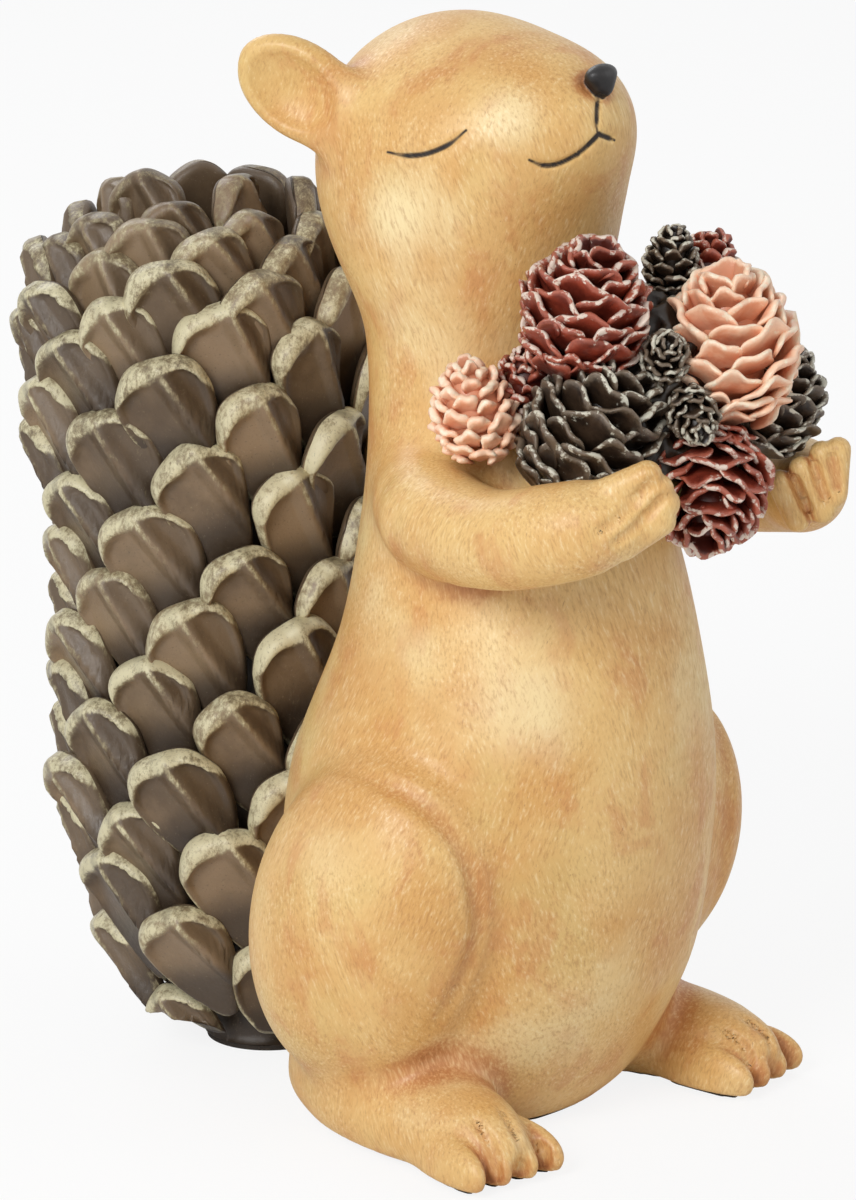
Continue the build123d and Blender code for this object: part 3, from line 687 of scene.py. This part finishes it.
def turned_rings(profile, count, centre=(0, 0), closed=False):
    """Rings round Z from points of radius and height, each joined to the next, and the last to the first
    where the profile is closed."""
    angles = [2 * math.pi * i / count for i in range(count)]
    vertices = [(centre[0] + radius * math.cos(angle), centre[1] + radius * math.sin(angle), height)
                for radius, height in profile for angle in angles]
    faces = []
    for j in range(len(profile) if closed else len(profile) - 1):
        for i in range(count):
            k, m = (i + 1) % count, (j + 1) % len(profile)
            faces.append((j * count + i, j * count + k, m * count + k, m * count + i))
    return vertices, faces


def lathe(profile, count):
    """A closed surface of revolution round Z."""
    vertices, faces = turned_rings(profile, count)
    vertices += [(0, 0, profile[0][1]), (0, 0, profile[-1][1])]
    last = (len(profile) - 1) * count
    for i in range(count):
        k = (i + 1) % count
        faces += [(len(vertices) - 2, k, i), (len(vertices) - 1, last + i, last + k)]
    return np.array(vertices), faces


def rotation(axis, degrees):
    return np.array(Matrix.Rotation(math.radians(degrees), 3, axis))


def clear_of(points, field, gap=0.3):
    """The points, with those inside a field moved out to its surface."""
    points = points.copy()
    inside = np.flatnonzero(field(points) < gap)
    if len(inside):
        out, normals = settle(field, points[inside], 14)
        points[inside] = out + normals * gap
    return points


def tail_core():
    """The core: a rim round the plug, the foot, and the body of the cone."""
    rings = [(TAIL_PLUG + 0.5 * PLUG_GAP, -FOOT_DROP), (TAIL_PLUG + 1.5 * PLUG_GAP, -FOOT_DROP),
             (TAIL_FOOT, -FOOT_DROP)]
    for share in np.linspace(0, 1, CORE_STEPS):
        depth = CORE_DEPTH + CROWN_DEPTH * smoothstep(0.72, 0.95, share)
        least = TAIL_FOOT if share < FOOT_SHARE else CORE_LEAST
        radius = max(tail_radius(share * TAIL_HEIGHT) - depth, least)
        rings.append((radius, share * (TAIL_HEIGHT - CORE_SHORT)))
    return lathe(rings, CORE_SIDES)


def make_tail():
    rng = np.random.default_rng(4)
    step = TAIL_HEIGHT / TAIL_STEPS
    heights = step * np.arange(TAIL_STEPS + 1)
    crowded = 1 + CROWD * smoothstep(0.78, 0.93, heights[:-1] / TAIL_HEIGHT)
    areas = np.concatenate([[0], np.cumsum(tail_radius(heights[:-1] + step / 2) * step * crowded)])
    pile = Pile("fold", "lip", "rim", "along", "tint", "wear")
    core, core_faces = tail_core()
    pile.add(core, core_faces, fold=UNPAINTED, lip=UNPAINTED, rim=UNPAINTED, along=0, tint=0, wear=0)
    for index in range(TAIL_SCALES):
        height = heights[np.searchsorted(areas, areas[-1] * (index + 0.5) / TAIL_SCALES)]
        share = height / TAIL_HEIGHT
        slope = math.atan2(tail_radius(height - step) - tail_radius(height + step), 2 * step)
        tilt = SCALE_TILT - SLOPE_SHARE * math.degrees(slope)
        tongue, faces, marks = tail_tongue(rng)
        root = height - SCALE_LENGTH / 2
        # The lowest scales end above the floor
        tongue[:, 2] = np.maximum(tongue[:, 2], FELT + SCALE_LIFT - root)
        size = rng.uniform(*SCALE_SIZES) * (1 - 0.12 * smoothstep(0.86, 1, share))
        size *= 1 - 0.16 * smoothstep(0.16, 0.02, share)
        spot = (tongue * (size, 1, size)) @ rotation("Y", rng.uniform(*SCALE_LEAN)).T
        spot = spot @ rotation("X", tilt + rng.uniform(*SCALE_NOD)).T
        crown = smoothstep(0.84, 1, share)
        spot = spot + (0, SCALE_SEAT * (1 - crown) - tail_radius(height), root + CROWN_LIFT * crown)
        spot = spot @ rotation("Z", math.degrees(index * GOLDEN)).T
        pile.add(spot, faces, tint=rng.uniform(0, 1), wear=rng.uniform(*SCALE_WEAR) * (1 - 0.55 * crown),
                 **marks)
    vertices, values = pile.joined()
    vertices = vertices @ rotation("X", -TAIL_LEAN).T + (0, TAIL_BACK, 0)
    away = np.hypot(vertices[:, 0], vertices[:, 1] - TAIL_BACK)
    scales = np.arange(len(vertices)) >= len(core)
    floor_line = np.where(scales, EDGE_LIFT * smoothstep(EDGE_FROM, EDGE_TO, away),
                          np.where(away < TAIL_PLUG + PLUG_GAP, PLUG_GAP, 0))
    vertices[:, 2] = np.maximum(vertices[:, 2], FELT + floor_line)
    return clear_of(vertices, BODY), pile.faces, values


# The small cones

# Shares up a cone's length, and of its core's width
CORE = ((-0.47, 0.02), (-0.47, 0.40), (-0.28, 0.88), (0.00, 1.00), (0.25, 0.80), (0.42, 0.42), (0.49, 0.02))
CORE_LENGTH, CORE_RINGS, CONE_SIDES, CORE_THIN = 0.84, 22, 24, 0.03
# Each kind: its length and width, its scales' thickness and number, the shares of its width that are its
# core, a scale and the scales' seats, how far its scales open, how wide they are for their length, and
# how finely they are divided
KIND_COLUMNS = ("length", "width", "thick", "count", "core", "disc", "seat", "opening", "wide", "grid")
KINDS = {
    "pine": (40, 39, 1.9, 64, 0.50, 0.345, 0.70, 46, 1.2, 11),
    "knob": (29, 26, 2.4, 58, 0.62, 0.30, 0.74, 50, 1.0, 9),
    "alder": (20, 15, 1.4, 40, 0.54, 0.38, 0.68, 46, 1.1, 9),
}
# The bunch: node, kind, place as shares of its width, depth and height, size, lean and direction
CONES = (
    ("dark_cone_middle", "pine", (-0.29, 0.43, 0.325), 1.08, 30, 25),
    ("rose_cone_large", "pine", (-0.285, 0.375, 0.715), 0.97, 15, 0),
    ("pink_cone_large", "pine", (0.125, 0.68, 0.575), 1.08, 12, -60),
    ("rose_cone_low", "pine", (-0.03, 0.73, 0.12), 0.93, 128, -50),
    ("dark_cone_left", "pine", (0.36, 0.68, 0.345), 0.80, 22, 40),
    ("rose_cone_far", "pine", (0.37, 0.32, 0.47), 0.80, 36, 75),
    ("pink_cone_right", "knob", (-0.475, 0.02, 0.37), 1.00, 16, -110),
    ("pink_cone_far", "knob", (0.475, 0.02, 0.37), 0.95, 34, 60),
    ("rose_cone_inner", "knob", (-0.31, 0.11, 0.435), 0.78, 20, -40),
    ("rose_cone_top", "knob", (0.33, 0.375, 0.72), 0.92, 14, 70),
    ("dark_cone_top", "alder", (0.1375, 0.394, 0.807), 1.10, 16, -30),
    ("dark_cone_small", "alder", (-0.15, 0.636, 0.5725), 1.0, 52, -42),
    ("dark_cone_lower", "alder", (-0.12, 0.745, 0.385), 0.98, 116, -33),
)
FIRST_CONE_SEED = 11
BUNCH_WIDTH, BUNCH_DEPTH, BUNCH_HEIGHT, BUNCH_FLOOR, BUNCH_BACK = 80, 70, 80, 175, 40
# The mound: its two forms' sizes, how much the upper one is raised and set forward, and its lumps
MOUND_SIZE, MOUND_TOP_SIZE, MOUND_RISE, MOUND_FORWARD = (66, 46, 26), (42, 38, 60), 18, 2
LUMP_HEIGHT, MOUND_STEP, PALE_BELOW = 1.1, 1.6, (9, 17)


def petal(count, radius, thick, wide, cup, rng):
    """A thick scale with a wavy, blunt rim: outwards along X, across along Y, its top face towards Z."""
    a, b, free, faces = disc_grid(count)
    r = np.sqrt(a * a + b * b)
    angle = np.arctan2(b, a)
    wave = 1 + 0.10 * np.sin(3 * angle + rng.uniform(0, 6)) + 0.07 * np.sin(5 * angle + rng.uniform(0, 6))
    x = a * radius * wave
    y = b * radius * wide * wave * (0.66 + 0.34 * smoothstep(-1, 0.5, a))
    ripple = 0.13 * np.sin(b * 5 + rng.uniform(0, 6)) * smoothstep(-0.4, 1, a)
    bend = radius * (cup * (a + 1) ** 2 / 4 - 0.12 * b * b + ripple)
    edge = np.sqrt(np.clip(1 - r ** 8, 0, 1))
    swell = thick * (0.4 + 0.6 * smoothstep(-0.5, 0.8, a)) * rng.uniform(0.85, 1.15)
    top = np.stack([x, y, bend + edge * swell * 0.55], 1)
    low = np.stack([x, y, bend - edge * swell * 0.45], 1)
    rim = smoothstep(0.6, 0.95, r) * smoothstep(-0.1, 0.5, a)
    return np.concatenate([top, low[free]]), faces, np.concatenate([rim, 0.6 * rim[free]])


def make_cone(kind, size, seed):
    rng = np.random.default_rng(seed)
    k = dict(zip(KIND_COLUMNS, KINDS[kind]))
    half = k["width"] / 2
    heights, girths = np.array(CORE).T
    profile = []
    for share in np.linspace(heights[0], heights[-1], CORE_RINGS):
        girth = max(np.interp(share, heights, girths), CORE_THIN)
        profile.append((half * k["core"] * girth, CORE_LENGTH * k["length"] * share))
    pile = Pile("pale", "along")
    pile.add(*lathe(profile, CONE_SIDES), pale=0, along=0)
    grid = k["grid"]
    for index in range(k["count"]):
        share = (index + 0.5) / k["count"]
        girth = math.sin(math.pi * (0.22 + 0.72 * share))
        radius = half * k["disc"] * (0.6 + 0.4 * girth) * rng.uniform(0.86, 1.12)
        tilt = k["opening"] * (1 - 0.6 * share) + rng.uniform(-8, 8)
        shape, faces, rim = petal(grid, radius, k["thick"], k["wide"] * rng.uniform(0.9, 1.1),
                                  rng.uniform(-0.25, 0.05), rng)
        shape = shape @ rotation("Y", tilt - 90).T @ rotation("X", rng.uniform(-8, 8)).T
        shape = shape + (half * k["seat"] * girth, 0, 0.86 * k["length"] * (share - 0.5))
        shape = shape @ rotation("Z", math.degrees(index * GOLDEN)).T
        reach = np.linalg.norm(shape[:, :2], axis=1) / half
        pile.add(shape, faces, pale=rim * rng.uniform(0.7, 1.1), along=np.clip(reach + 0.25 * share, 0, 1))
    vertices, values = pile.joined()
    return vertices * size, pile.faces, values


def bed_mound():
    """The bed as a lumpy mound that fills the middle of the bunch, pale along its lower edge."""
    mound = Field()
    middle = np.array((0, -BUNCH_BACK - 0.4 * BUNCH_DEPTH, BUNCH_FLOOR + 10))
    mound.blob(middle, MOUND_SIZE, 1)
    mound.blob(middle + (0, -MOUND_FORWARD, MOUND_RISE), MOUND_TOP_SIZE, 10)

    def shape(p):
        lumps = sum(np.sin(p[:, i] * 0.62 + 2 * i) * np.sin(p[:, (i + 1) % 3] * 0.71 + i) for i in range(3))
        return mound(p) + LUMP_HEIGHT * lumps.astype(p.dtype)

    vertices, faces = surface_net(shape, middle - (40, 38, 20), middle + (40, 38, 54), MOUND_STEP)
    vertices, _ = settle(shape, vertices, 2)
    above = vertices[:, 2] - BUNCH_FLOOR
    return vertices, faces, {"pale": 1 - smoothstep(*PALE_BELOW, above)}


def cone_place(places, lean, direction):
    turn = rotation("Z", direction) @ rotation("X", lean)
    spot = np.array((BUNCH_WIDTH * places[0], -BUNCH_BACK - BUNCH_DEPTH * places[1],
                     BUNCH_FLOOR + BUNCH_HEIGHT * places[2]))
    return turn, spot


# Materials

class Nodes:
    """The node tree of a material or the world, and a short way to write it."""

    def __init__(self, owner):
        owner.use_nodes = True
        self.owner, self.tree = owner, owner.node_tree

    def feed(self, socket, value):
        if isinstance(value, bpy.types.NodeSocket):
            self.tree.links.new(value, socket)
        else:
            socket.default_value = value

    def put(self, kind, *values, **named):
        """A new node. Values go to its inputs in order, or by name with underscores for spaces."""
        node = self.tree.nodes.new("ShaderNode" + kind)
        for socket, value in zip(node.inputs, values):
            self.feed(socket, value)
        return self.change(node, **named)

    def change(self, node, **named):
        """A node, or the one of that name, with some of its inputs changed."""
        node = self.tree.nodes[node] if isinstance(node, str) else node
        for key, value in named.items():
            self.feed(node.inputs[key.replace("_", " ")], value)
        return node

    def math(self, operation, *values):
        node = self.put("Math", *values)
        node.operation = operation
        return node.outputs[0]

    def join(self, factor, first, second, output):
        """Two shaders mixed by a factor, on their way to the output."""
        mixer = self.put("MixShader", factor, first.outputs[0], second.outputs[0])
        self.change(output, Surface=mixer.outputs[0])


class Paint(Nodes):
    """A material made of noises, of the values in a mesh, and of coats of colour."""

    def __init__(self, name):
        super().__init__(bpy.data.materials.new(name))
        self.coords = self.put("TexCoord").outputs["Object"]

    def value(self, name):
        node = self.put("Attribute")
        node.attribute_name = name
        return node.outputs["Fac"]

    def warp(self, scale, size):
        """Object coordinates that drift slowly, so that strokes in them bend."""
        noise = self.put("TexNoise", Vector=self.coords, Scale=scale, Detail=1)
        node = self.put("VectorMath", noise.outputs["Color"], (size, size, size), self.coords)
        node.operation = "MULTIPLY_ADD"
        return node.outputs[0]

    def noise(self, scale, detail, roughness, stretch=(1, 1, 1), distortion=0, offset=(0, 0, 0), turn=None,
              source=None):
        """A noise. Where it is turned, its strokes lean, and its stretch follows the turn."""
        vector = source or self.coords
        if turn:
            angles = [math.radians(angle) for angle in turn]
            vector = self.put("Mapping", Vector=vector, Rotation=angles).outputs[0]
        vector = self.put("Mapping", Vector=vector, Scale=stretch, Location=offset).outputs[0]
        node = self.put("TexNoise", Vector=vector, Scale=scale, Detail=detail,
                        Roughness=roughness, Distortion=distortion)
        return node.outputs["Fac"]

    def span(self, value, low, high, to_low=0.0, to_high=1.0):
        """A value's smooth rise from one range to another."""
        node = self.put("MapRange", Value=value, From_Min=low, From_Max=high, To_Min=to_low,
                        To_Max=to_high)
        node.interpolation_type = "SMOOTHSTEP"
        return node.outputs["Result"]

    def stirred(self, value, noise, size):
        """A value that a noise moves up and down."""
        return self.math("ADD", value, self.math("MULTIPLY", self.math("SUBTRACT", noise, 0.5), size))

    def blend(self, factor, a, b):
        node = self.put("Mix", Factor=factor)
        self.feed(node.inputs[2], a)
        self.feed(node.inputs[3], b)
        return node.outputs[0]

    def mix(self, factor, a, b):
        node = self.put("Mix", Factor=factor)
        node.data_type = "RGBA"
        for socket, colour in ((node.inputs[6], a), (node.inputs[7], b)):
            self.feed(socket, colour if isinstance(colour, bpy.types.NodeSocket) else (*colour, 1))
        return node.outputs[2]

    def coats(self, colour, *coats):
        """A colour under thin coats: each one's mask, where it starts and is full, strength and paint."""
        for mask, low, high, strength, paint in coats:
            colour = self.mix(self.span(mask, low, high, 0, strength), colour, paint)
        return colour

    def finish(self, colour, roughness, *bumps):
        """The material, with bumps laid one over another: each one's height, strength and distance."""
        normal = {}
        for height, strength, distance in bumps:
            node = self.put("Bump", Strength=strength, Distance=distance, Height=height, **normal)
            normal = {"Normal": node.outputs[0]}
        self.change("Principled BSDF", Base_Color=colour, Roughness=roughness, **normal)
        return self.owner


def rgb(*values):
    """A colour as the screen shows it, from 0 to 255, in the shader's own values."""
    return tuple(((c / 255 + 0.055) / 1.055) ** 2.4 if c > 10 else c / 255 / 12.92 for c in values)


def honey():
    n = Paint("honey_resin")
    drift = n.warp(14, 0.012)
    strokes = n.noise(1250, 4, 0.66, (1, 1, 0.2), turn=(12, 12, 0), source=drift)
    crossed = n.noise(1300, 4, 0.66, (1, 1, 0.24), turn=(-16, -12, 0), source=drift, offset=(3, 1, 0))
    where = n.span(n.noise(16, 2, 0.5, offset=(5, 5, 1)), 0.42, 0.58)
    brushed = n.blend(where, strokes, crossed)
    scratches = n.noise(2000, 2, 0.6, (1, 1, 0.14), turn=(4, -24, 0), source=drift, offset=(2, 6, 0))
    clouds = n.noise(30, 4, 0.6, (1, 1, 0.8), 0.6)
    patches = n.noise(62, 5, 0.65, (1, 1, 0.7), 0.5, offset=(7, 2, 5))
    olive = n.noise(24, 3, 0.6, offset=(2, 8, 3))
    pale = n.noise(20, 3, 0.55, offset=(1, 9, 4))
    # Painted shade in the hollows and grooves, varied by the brush strokes
    crease_shade = n.math("MULTIPLY", n.value("crease"), n.span(brushed, 0.3, 0.6, 0.8, 1.2))
    colour = n.coats(
        rgb(228, 189, 123),
        (clouds, 0.34, 0.66, 1, rgb(214, 163, 95)),
        (olive, 0.50, 0.70, 0.45, rgb(212, 184, 116)),
        (patches, 0.50, 0.68, 0.50, rgb(202, 132, 76)),
        (pale, 0.50, 0.70, 0.5, rgb(240, 220, 168)),
        # Painted highlights on the cheeks, belly and thigh
        (n.value("glow"), 0.1, 1.0, 0.6, rgb(248, 230, 180)),
        (brushed, 0.49, 0.68, 0.40, rgb(168, 110, 60)),
        (brushed, 0.47, 0.32, 0.36, rgb(246, 230, 186)),
        (scratches, 0.66, 0.76, 0.42, rgb(148, 84, 44)),
        # Two coats of painted shade, brown, in the hollows and grooves
        (crease_shade, 0.14, 0.60, 0.75, rgb(186, 116, 64)),
        (crease_shade, 0.45, 0.95, 0.75, rgb(138, 82, 44)))
    ink = n.value("ink")
    colour = n.mix(ink, colour, rgb(30, 20, 13))
    colour = n.mix(n.value("nose"), colour, rgb(22, 19, 19))
    rough = n.math("ADD", n.span(brushed, 0.3, 0.7, 0.34, 0.50), n.math("MULTIPLY", ink, 0.3))
    return n.finish(colour, rough, (brushed, 0.25, 0.0004), (patches, 0.12, 0.0012))


def bark():
    n = Paint("bark_resin")
    brush = n.noise(760, 6, 0.8, (1, 1, 0.5))
    specks = n.noise(1500, 3, 0.7, offset=(4, 4, 4))
    broad = n.noise(70, 4, 0.6)
    worn = n.noise(210, 4, 0.65, offset=(8, 1, 2))
    along, fold = n.value("along"), n.value("fold")
    tone = n.math("ADD", n.math("MULTIPLY", n.value("tint"), 0.4), n.math("MULTIPLY", broad, 0.6))
    ridge = n.math("ABSOLUTE", fold)
    line = n.math("MULTIPLY", n.span(ridge, 1.5, 0.3), n.span(along, 0.45, 0.85, 0.05, 0.8))
    line = n.math("MAXIMUM", line, n.span(n.value("rim"), 1.6, 0.3, 0, 0.8))
    lip = n.span(n.value("lip"), 1.35, 0.7)
    pale = n.math("MULTIPLY", n.math("MAXIMUM", line, lip), n.value("wear"))
    mask = n.stirred(n.stirred(pale, brush, 2.0), worn, 1.2)
    colour = n.coats(
        rgb(88, 70, 50),
        (tone, 0.2, 0.7, 1, rgb(140, 117, 90)),
        # Painted shade towards each scale's root and on the core, between the scales
        (along, 0.60, 0.30, 0.8, rgb(44, 34, 26)),
        # Darker right of each scale's fold: partly the paint's own wash, partly painted shade
        (fold, -0.5, 1.5, 0.5, rgb(66, 54, 42)),
        (mask, 0.25, 0.75, 0.6, rgb(166, 154, 120)),
        (mask, 0.60, 1.05, 0.85, rgb(216, 208, 172)),
        (specks, 0.60, 0.70, 0.6, rgb(74, 62, 50)),
        (specks, 0.36, 0.28, 0.3, rgb(172, 158, 134)))
    return n.finish(colour, n.span(brush, 0.3, 0.7, 0.30, 0.48), (n.span(ridge, 4.5, 0), 0.9, 0.0016),
                    (brush, 0.3, 0.0005), (broad, 0.3, 0.0015))


def cone_paint(name, deep, body, rim, tip, strength=0.9, shade=0.4):
    """Resin from deep to body colour, shaded towards the core, with painted rims and worn, paler tips."""
    n = Paint(name)
    brush = n.noise(1100, 4, 0.7)
    broad = n.noise(170, 3, 0.55)
    worn = n.noise(330, 3, 0.6, offset=(3, 7, 1))
    pale = n.stirred(n.value("pale"), brush, 0.7)
    deep = rgb(*deep)
    colour = n.coats(
        deep,
        (broad, 0.32, 0.68, 1, rgb(*body)),
        (n.value("along"), 0.80, 0.45, 0.85, tuple(shade * c for c in deep)),
        (pale, 0.15, 0.75, 0.8, rgb(*rim)),
        (n.stirred(pale, worn, 4.2), 0.72, 1.12, strength, rgb(*tip)))
    return n.finish(colour, n.span(brush, 0.3, 0.7, 0.28, 0.46), (brush, 0.2, 0.0004), (broad, 0.35, 0.001))


def plain(name, dark, light, scale, rough, strength, distance, stretch=(1, 1, 1)):
    """One grain in two colours, with broad darker stains."""
    n = Paint(name)
    grain = n.noise(scale, 4, 0.65, stretch)
    stains = n.noise(scale / 8, 3, 0.5)
    dark = rgb(*dark)
    colour = n.coats(
        dark,
        (grain, 0.35, 0.68, 1, rgb(*light)),
        (stains, 0.4, 0.7, 0.35, tuple(0.6 * c for c in dark)))
    return n.finish(colour, n.span(grain, 0.3, 0.7, *rough), (grain, strength, distance))


# The pieces

show("squirrel_body", "body_casting", honey(), "honey_resin", *make_body())
show("cone_tail", "tail_casting", bark(), "bark_resin", *make_tail())

PAINTS = {
    "rose": cone_paint("rose_resin", (106, 40, 28), (154, 66, 46), (178, 100, 78), (232, 216, 200)),
    "pink": cone_paint("pink_resin", (238, 166, 128), (252, 204, 170), (252, 218, 188), (248, 236, 210),
                       strength=0.7, shade=0.78),
    "dark": cone_paint("dark_resin", (38, 28, 21), (72, 55, 41), (122, 106, 88), (214, 210, 192)),
}
for seed, (node, kind, places, size, lean, direction) in enumerate(CONES):
    vertices, faces, values = make_cone(kind, size, seed + FIRST_CONE_SEED)
    turn, spot = cone_place(places, lean, direction)
    colour = node.split("_")[0]
    show(node + "_cast", node, PAINTS[colour], colour + "_resin", vertices @ turn.T + spot, faces, values)

# The bed's dark brown stands in for the shade deep in the bunch, painted shade; its shade coat covers all
# of it. Its pale lower edge is the glue's own colour.
glue_resin = cone_paint("glue_resin", (58, 44, 30), (74, 58, 38), (168, 158, 88), (214, 208, 140),
                        strength=0.6)
show("bed_mound", "bunch_bed", glue_resin, "glue_resin", *bed_mound())

# Dark felt under the body and the tail: the felt's own colour, and at the toes also a dark edge in place of
# the shade under them, painted shade
felt_cloth = plain("felt_cloth", (44, 38, 33), (70, 61, 53), 2200, (0.85, 1.0), 0.8, 0.0004)
show("felt_sole", "body_felt", felt_cloth, "felt", *felt_sole())
inner, outer = FOOT_RING
ring = turned_rings(((outer, HOVER), (outer, FELT), (inner, FELT), (inner, HOVER)), 96,
                    (0, TAIL_BACK - 0.6), closed=True)
show("tail_felt_ring", "tail_felt", felt_cloth, "felt", *ring)

plug_rubber = plain("plug_rubber", (28, 27, 26), (44, 42, 40), 700, (0.55, 0.75), 0.3, 0.0003)
pin_steel = plain("pin_steel", (168, 168, 170), (196, 196, 198), 500, (0.22, 0.4), 0.15, 0.0001,
                  stretch=(1, 0.05, 1))
pin_steel.node_tree.nodes["Principled BSDF"].inputs["Metallic"].default_value = 1.0
FINISHES = {"body_plug": plug_rubber, "tail_plug": plug_rubber,
            "tail_pin_lower": pin_steel, "tail_pin_upper": pin_steel}
for node, material in FINISHES.items():
    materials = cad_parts[node].data.materials
    materials.clear()
    materials.append(material)


# The floor, the light and the camera

FLOOR_SIDE, FLOOR_WHITE, FLOOR_GLOW = 3.0, 0.88, 0.86
WORLD_COLOUR, WORLD_STRENGTH = (0.97, 0.98, 1.0, 1), 0.46


def make_floor():
    """A pale floor that the camera sees lit evenly, under the object's shadow."""
    n = Nodes(bpy.data.materials.new("floor_white"))
    white = (FLOOR_WHITE, FLOOR_WHITE, FLOOR_WHITE, 1)
    paint = n.change("Principled BSDF", Base_Color=white, Roughness=0.8)
    glow = n.put("Emission", Strength=1.0)
    seen = n.put("LightPath").outputs["Is Camera Ray"]
    n.join(n.math("MULTIPLY", seen, FLOOR_GLOW), paint, glow, "Material Output")
    mesh = bpy.data.meshes.new("floor")
    side = FLOOR_SIDE
    mesh.from_pydata([(-side, -side, 0), (side, -side, 0), (side, side, 0), (-side, side, 0)], [],
                     [(0, 1, 2, 3)])
    mesh.materials.append(n.owner)
    place("floor", mesh)


def make_world():
    """Soft light on the object, and white for the camera and in reflections."""
    n = Nodes(bpy.data.worlds.new("studio"))
    bpy.context.scene.world = n.owner
    light = n.change("Background", Color=WORLD_COLOUR, Strength=WORLD_STRENGTH)
    white = n.put("Background", Color=(1, 1, 1, 1), Strength=1.0)
    path = n.put("LightPath").outputs
    seen = n.math("MAXIMUM", path["Is Camera Ray"], path["Is Transmission Ray"])
    seen = n.math("MAXIMUM", seen, path["Is Glossy Ray"])
    n.join(seen, light, white, "World Output")


def lamp(name, spot, target, size, power):
    data = bpy.data.lights.new(name, "AREA")
    data.shape = "RECTANGLE"
    data.size, data.size_y = size
    data.energy = power
    obj = place(name, data)
    obj.location = spot
    obj.rotation_euler = (Vector(target) - Vector(spot)).to_track_quat("-Z", "Y").to_euler()


make_floor()
make_world()
# Places and sizes in metres
lamp("key", (-1.75, -0.4, 1.25), (0, -0.02, 0.15), (0.8, 0.8), 25)
lamp("fill", (0.9, -1.6, 0.9), (0, -0.02, 0.15), (1.2, 1.2), 4.5)
lamp("rim", (0.5, 1.5, 1.3), (0, 0.03, 0.18), (1.0, 0.6), 8)

c, s = cos_sin(CAMERA_AZIMUTH)
level, rise = cos_sin(CAMERA_ELEVATION)
back = Vector((s * level, -c * level, rise))
camera_data = bpy.data.cameras.new("camera")
camera_data.sensor_fit = "VERTICAL"
camera_data.sensor_height = SENSOR_HEIGHT
camera_data.lens = PIXELS_PER_MM * CAMERA_DISTANCE * SENSOR_HEIGHT / PHOTO_HEIGHT
camera = place("camera", camera_data)
camera.location = (Vector(CAMERA_TARGET) + back * CAMERA_DISTANCE) * MM
camera.rotation_euler = (-back).to_track_quat("-Z", "Y").to_euler()
camera_data.clip_start = NEAREST_SEEN * MM
bpy.context.scene.camera = camera
bpy.context.scene.view_settings.view_transform = "Standard"
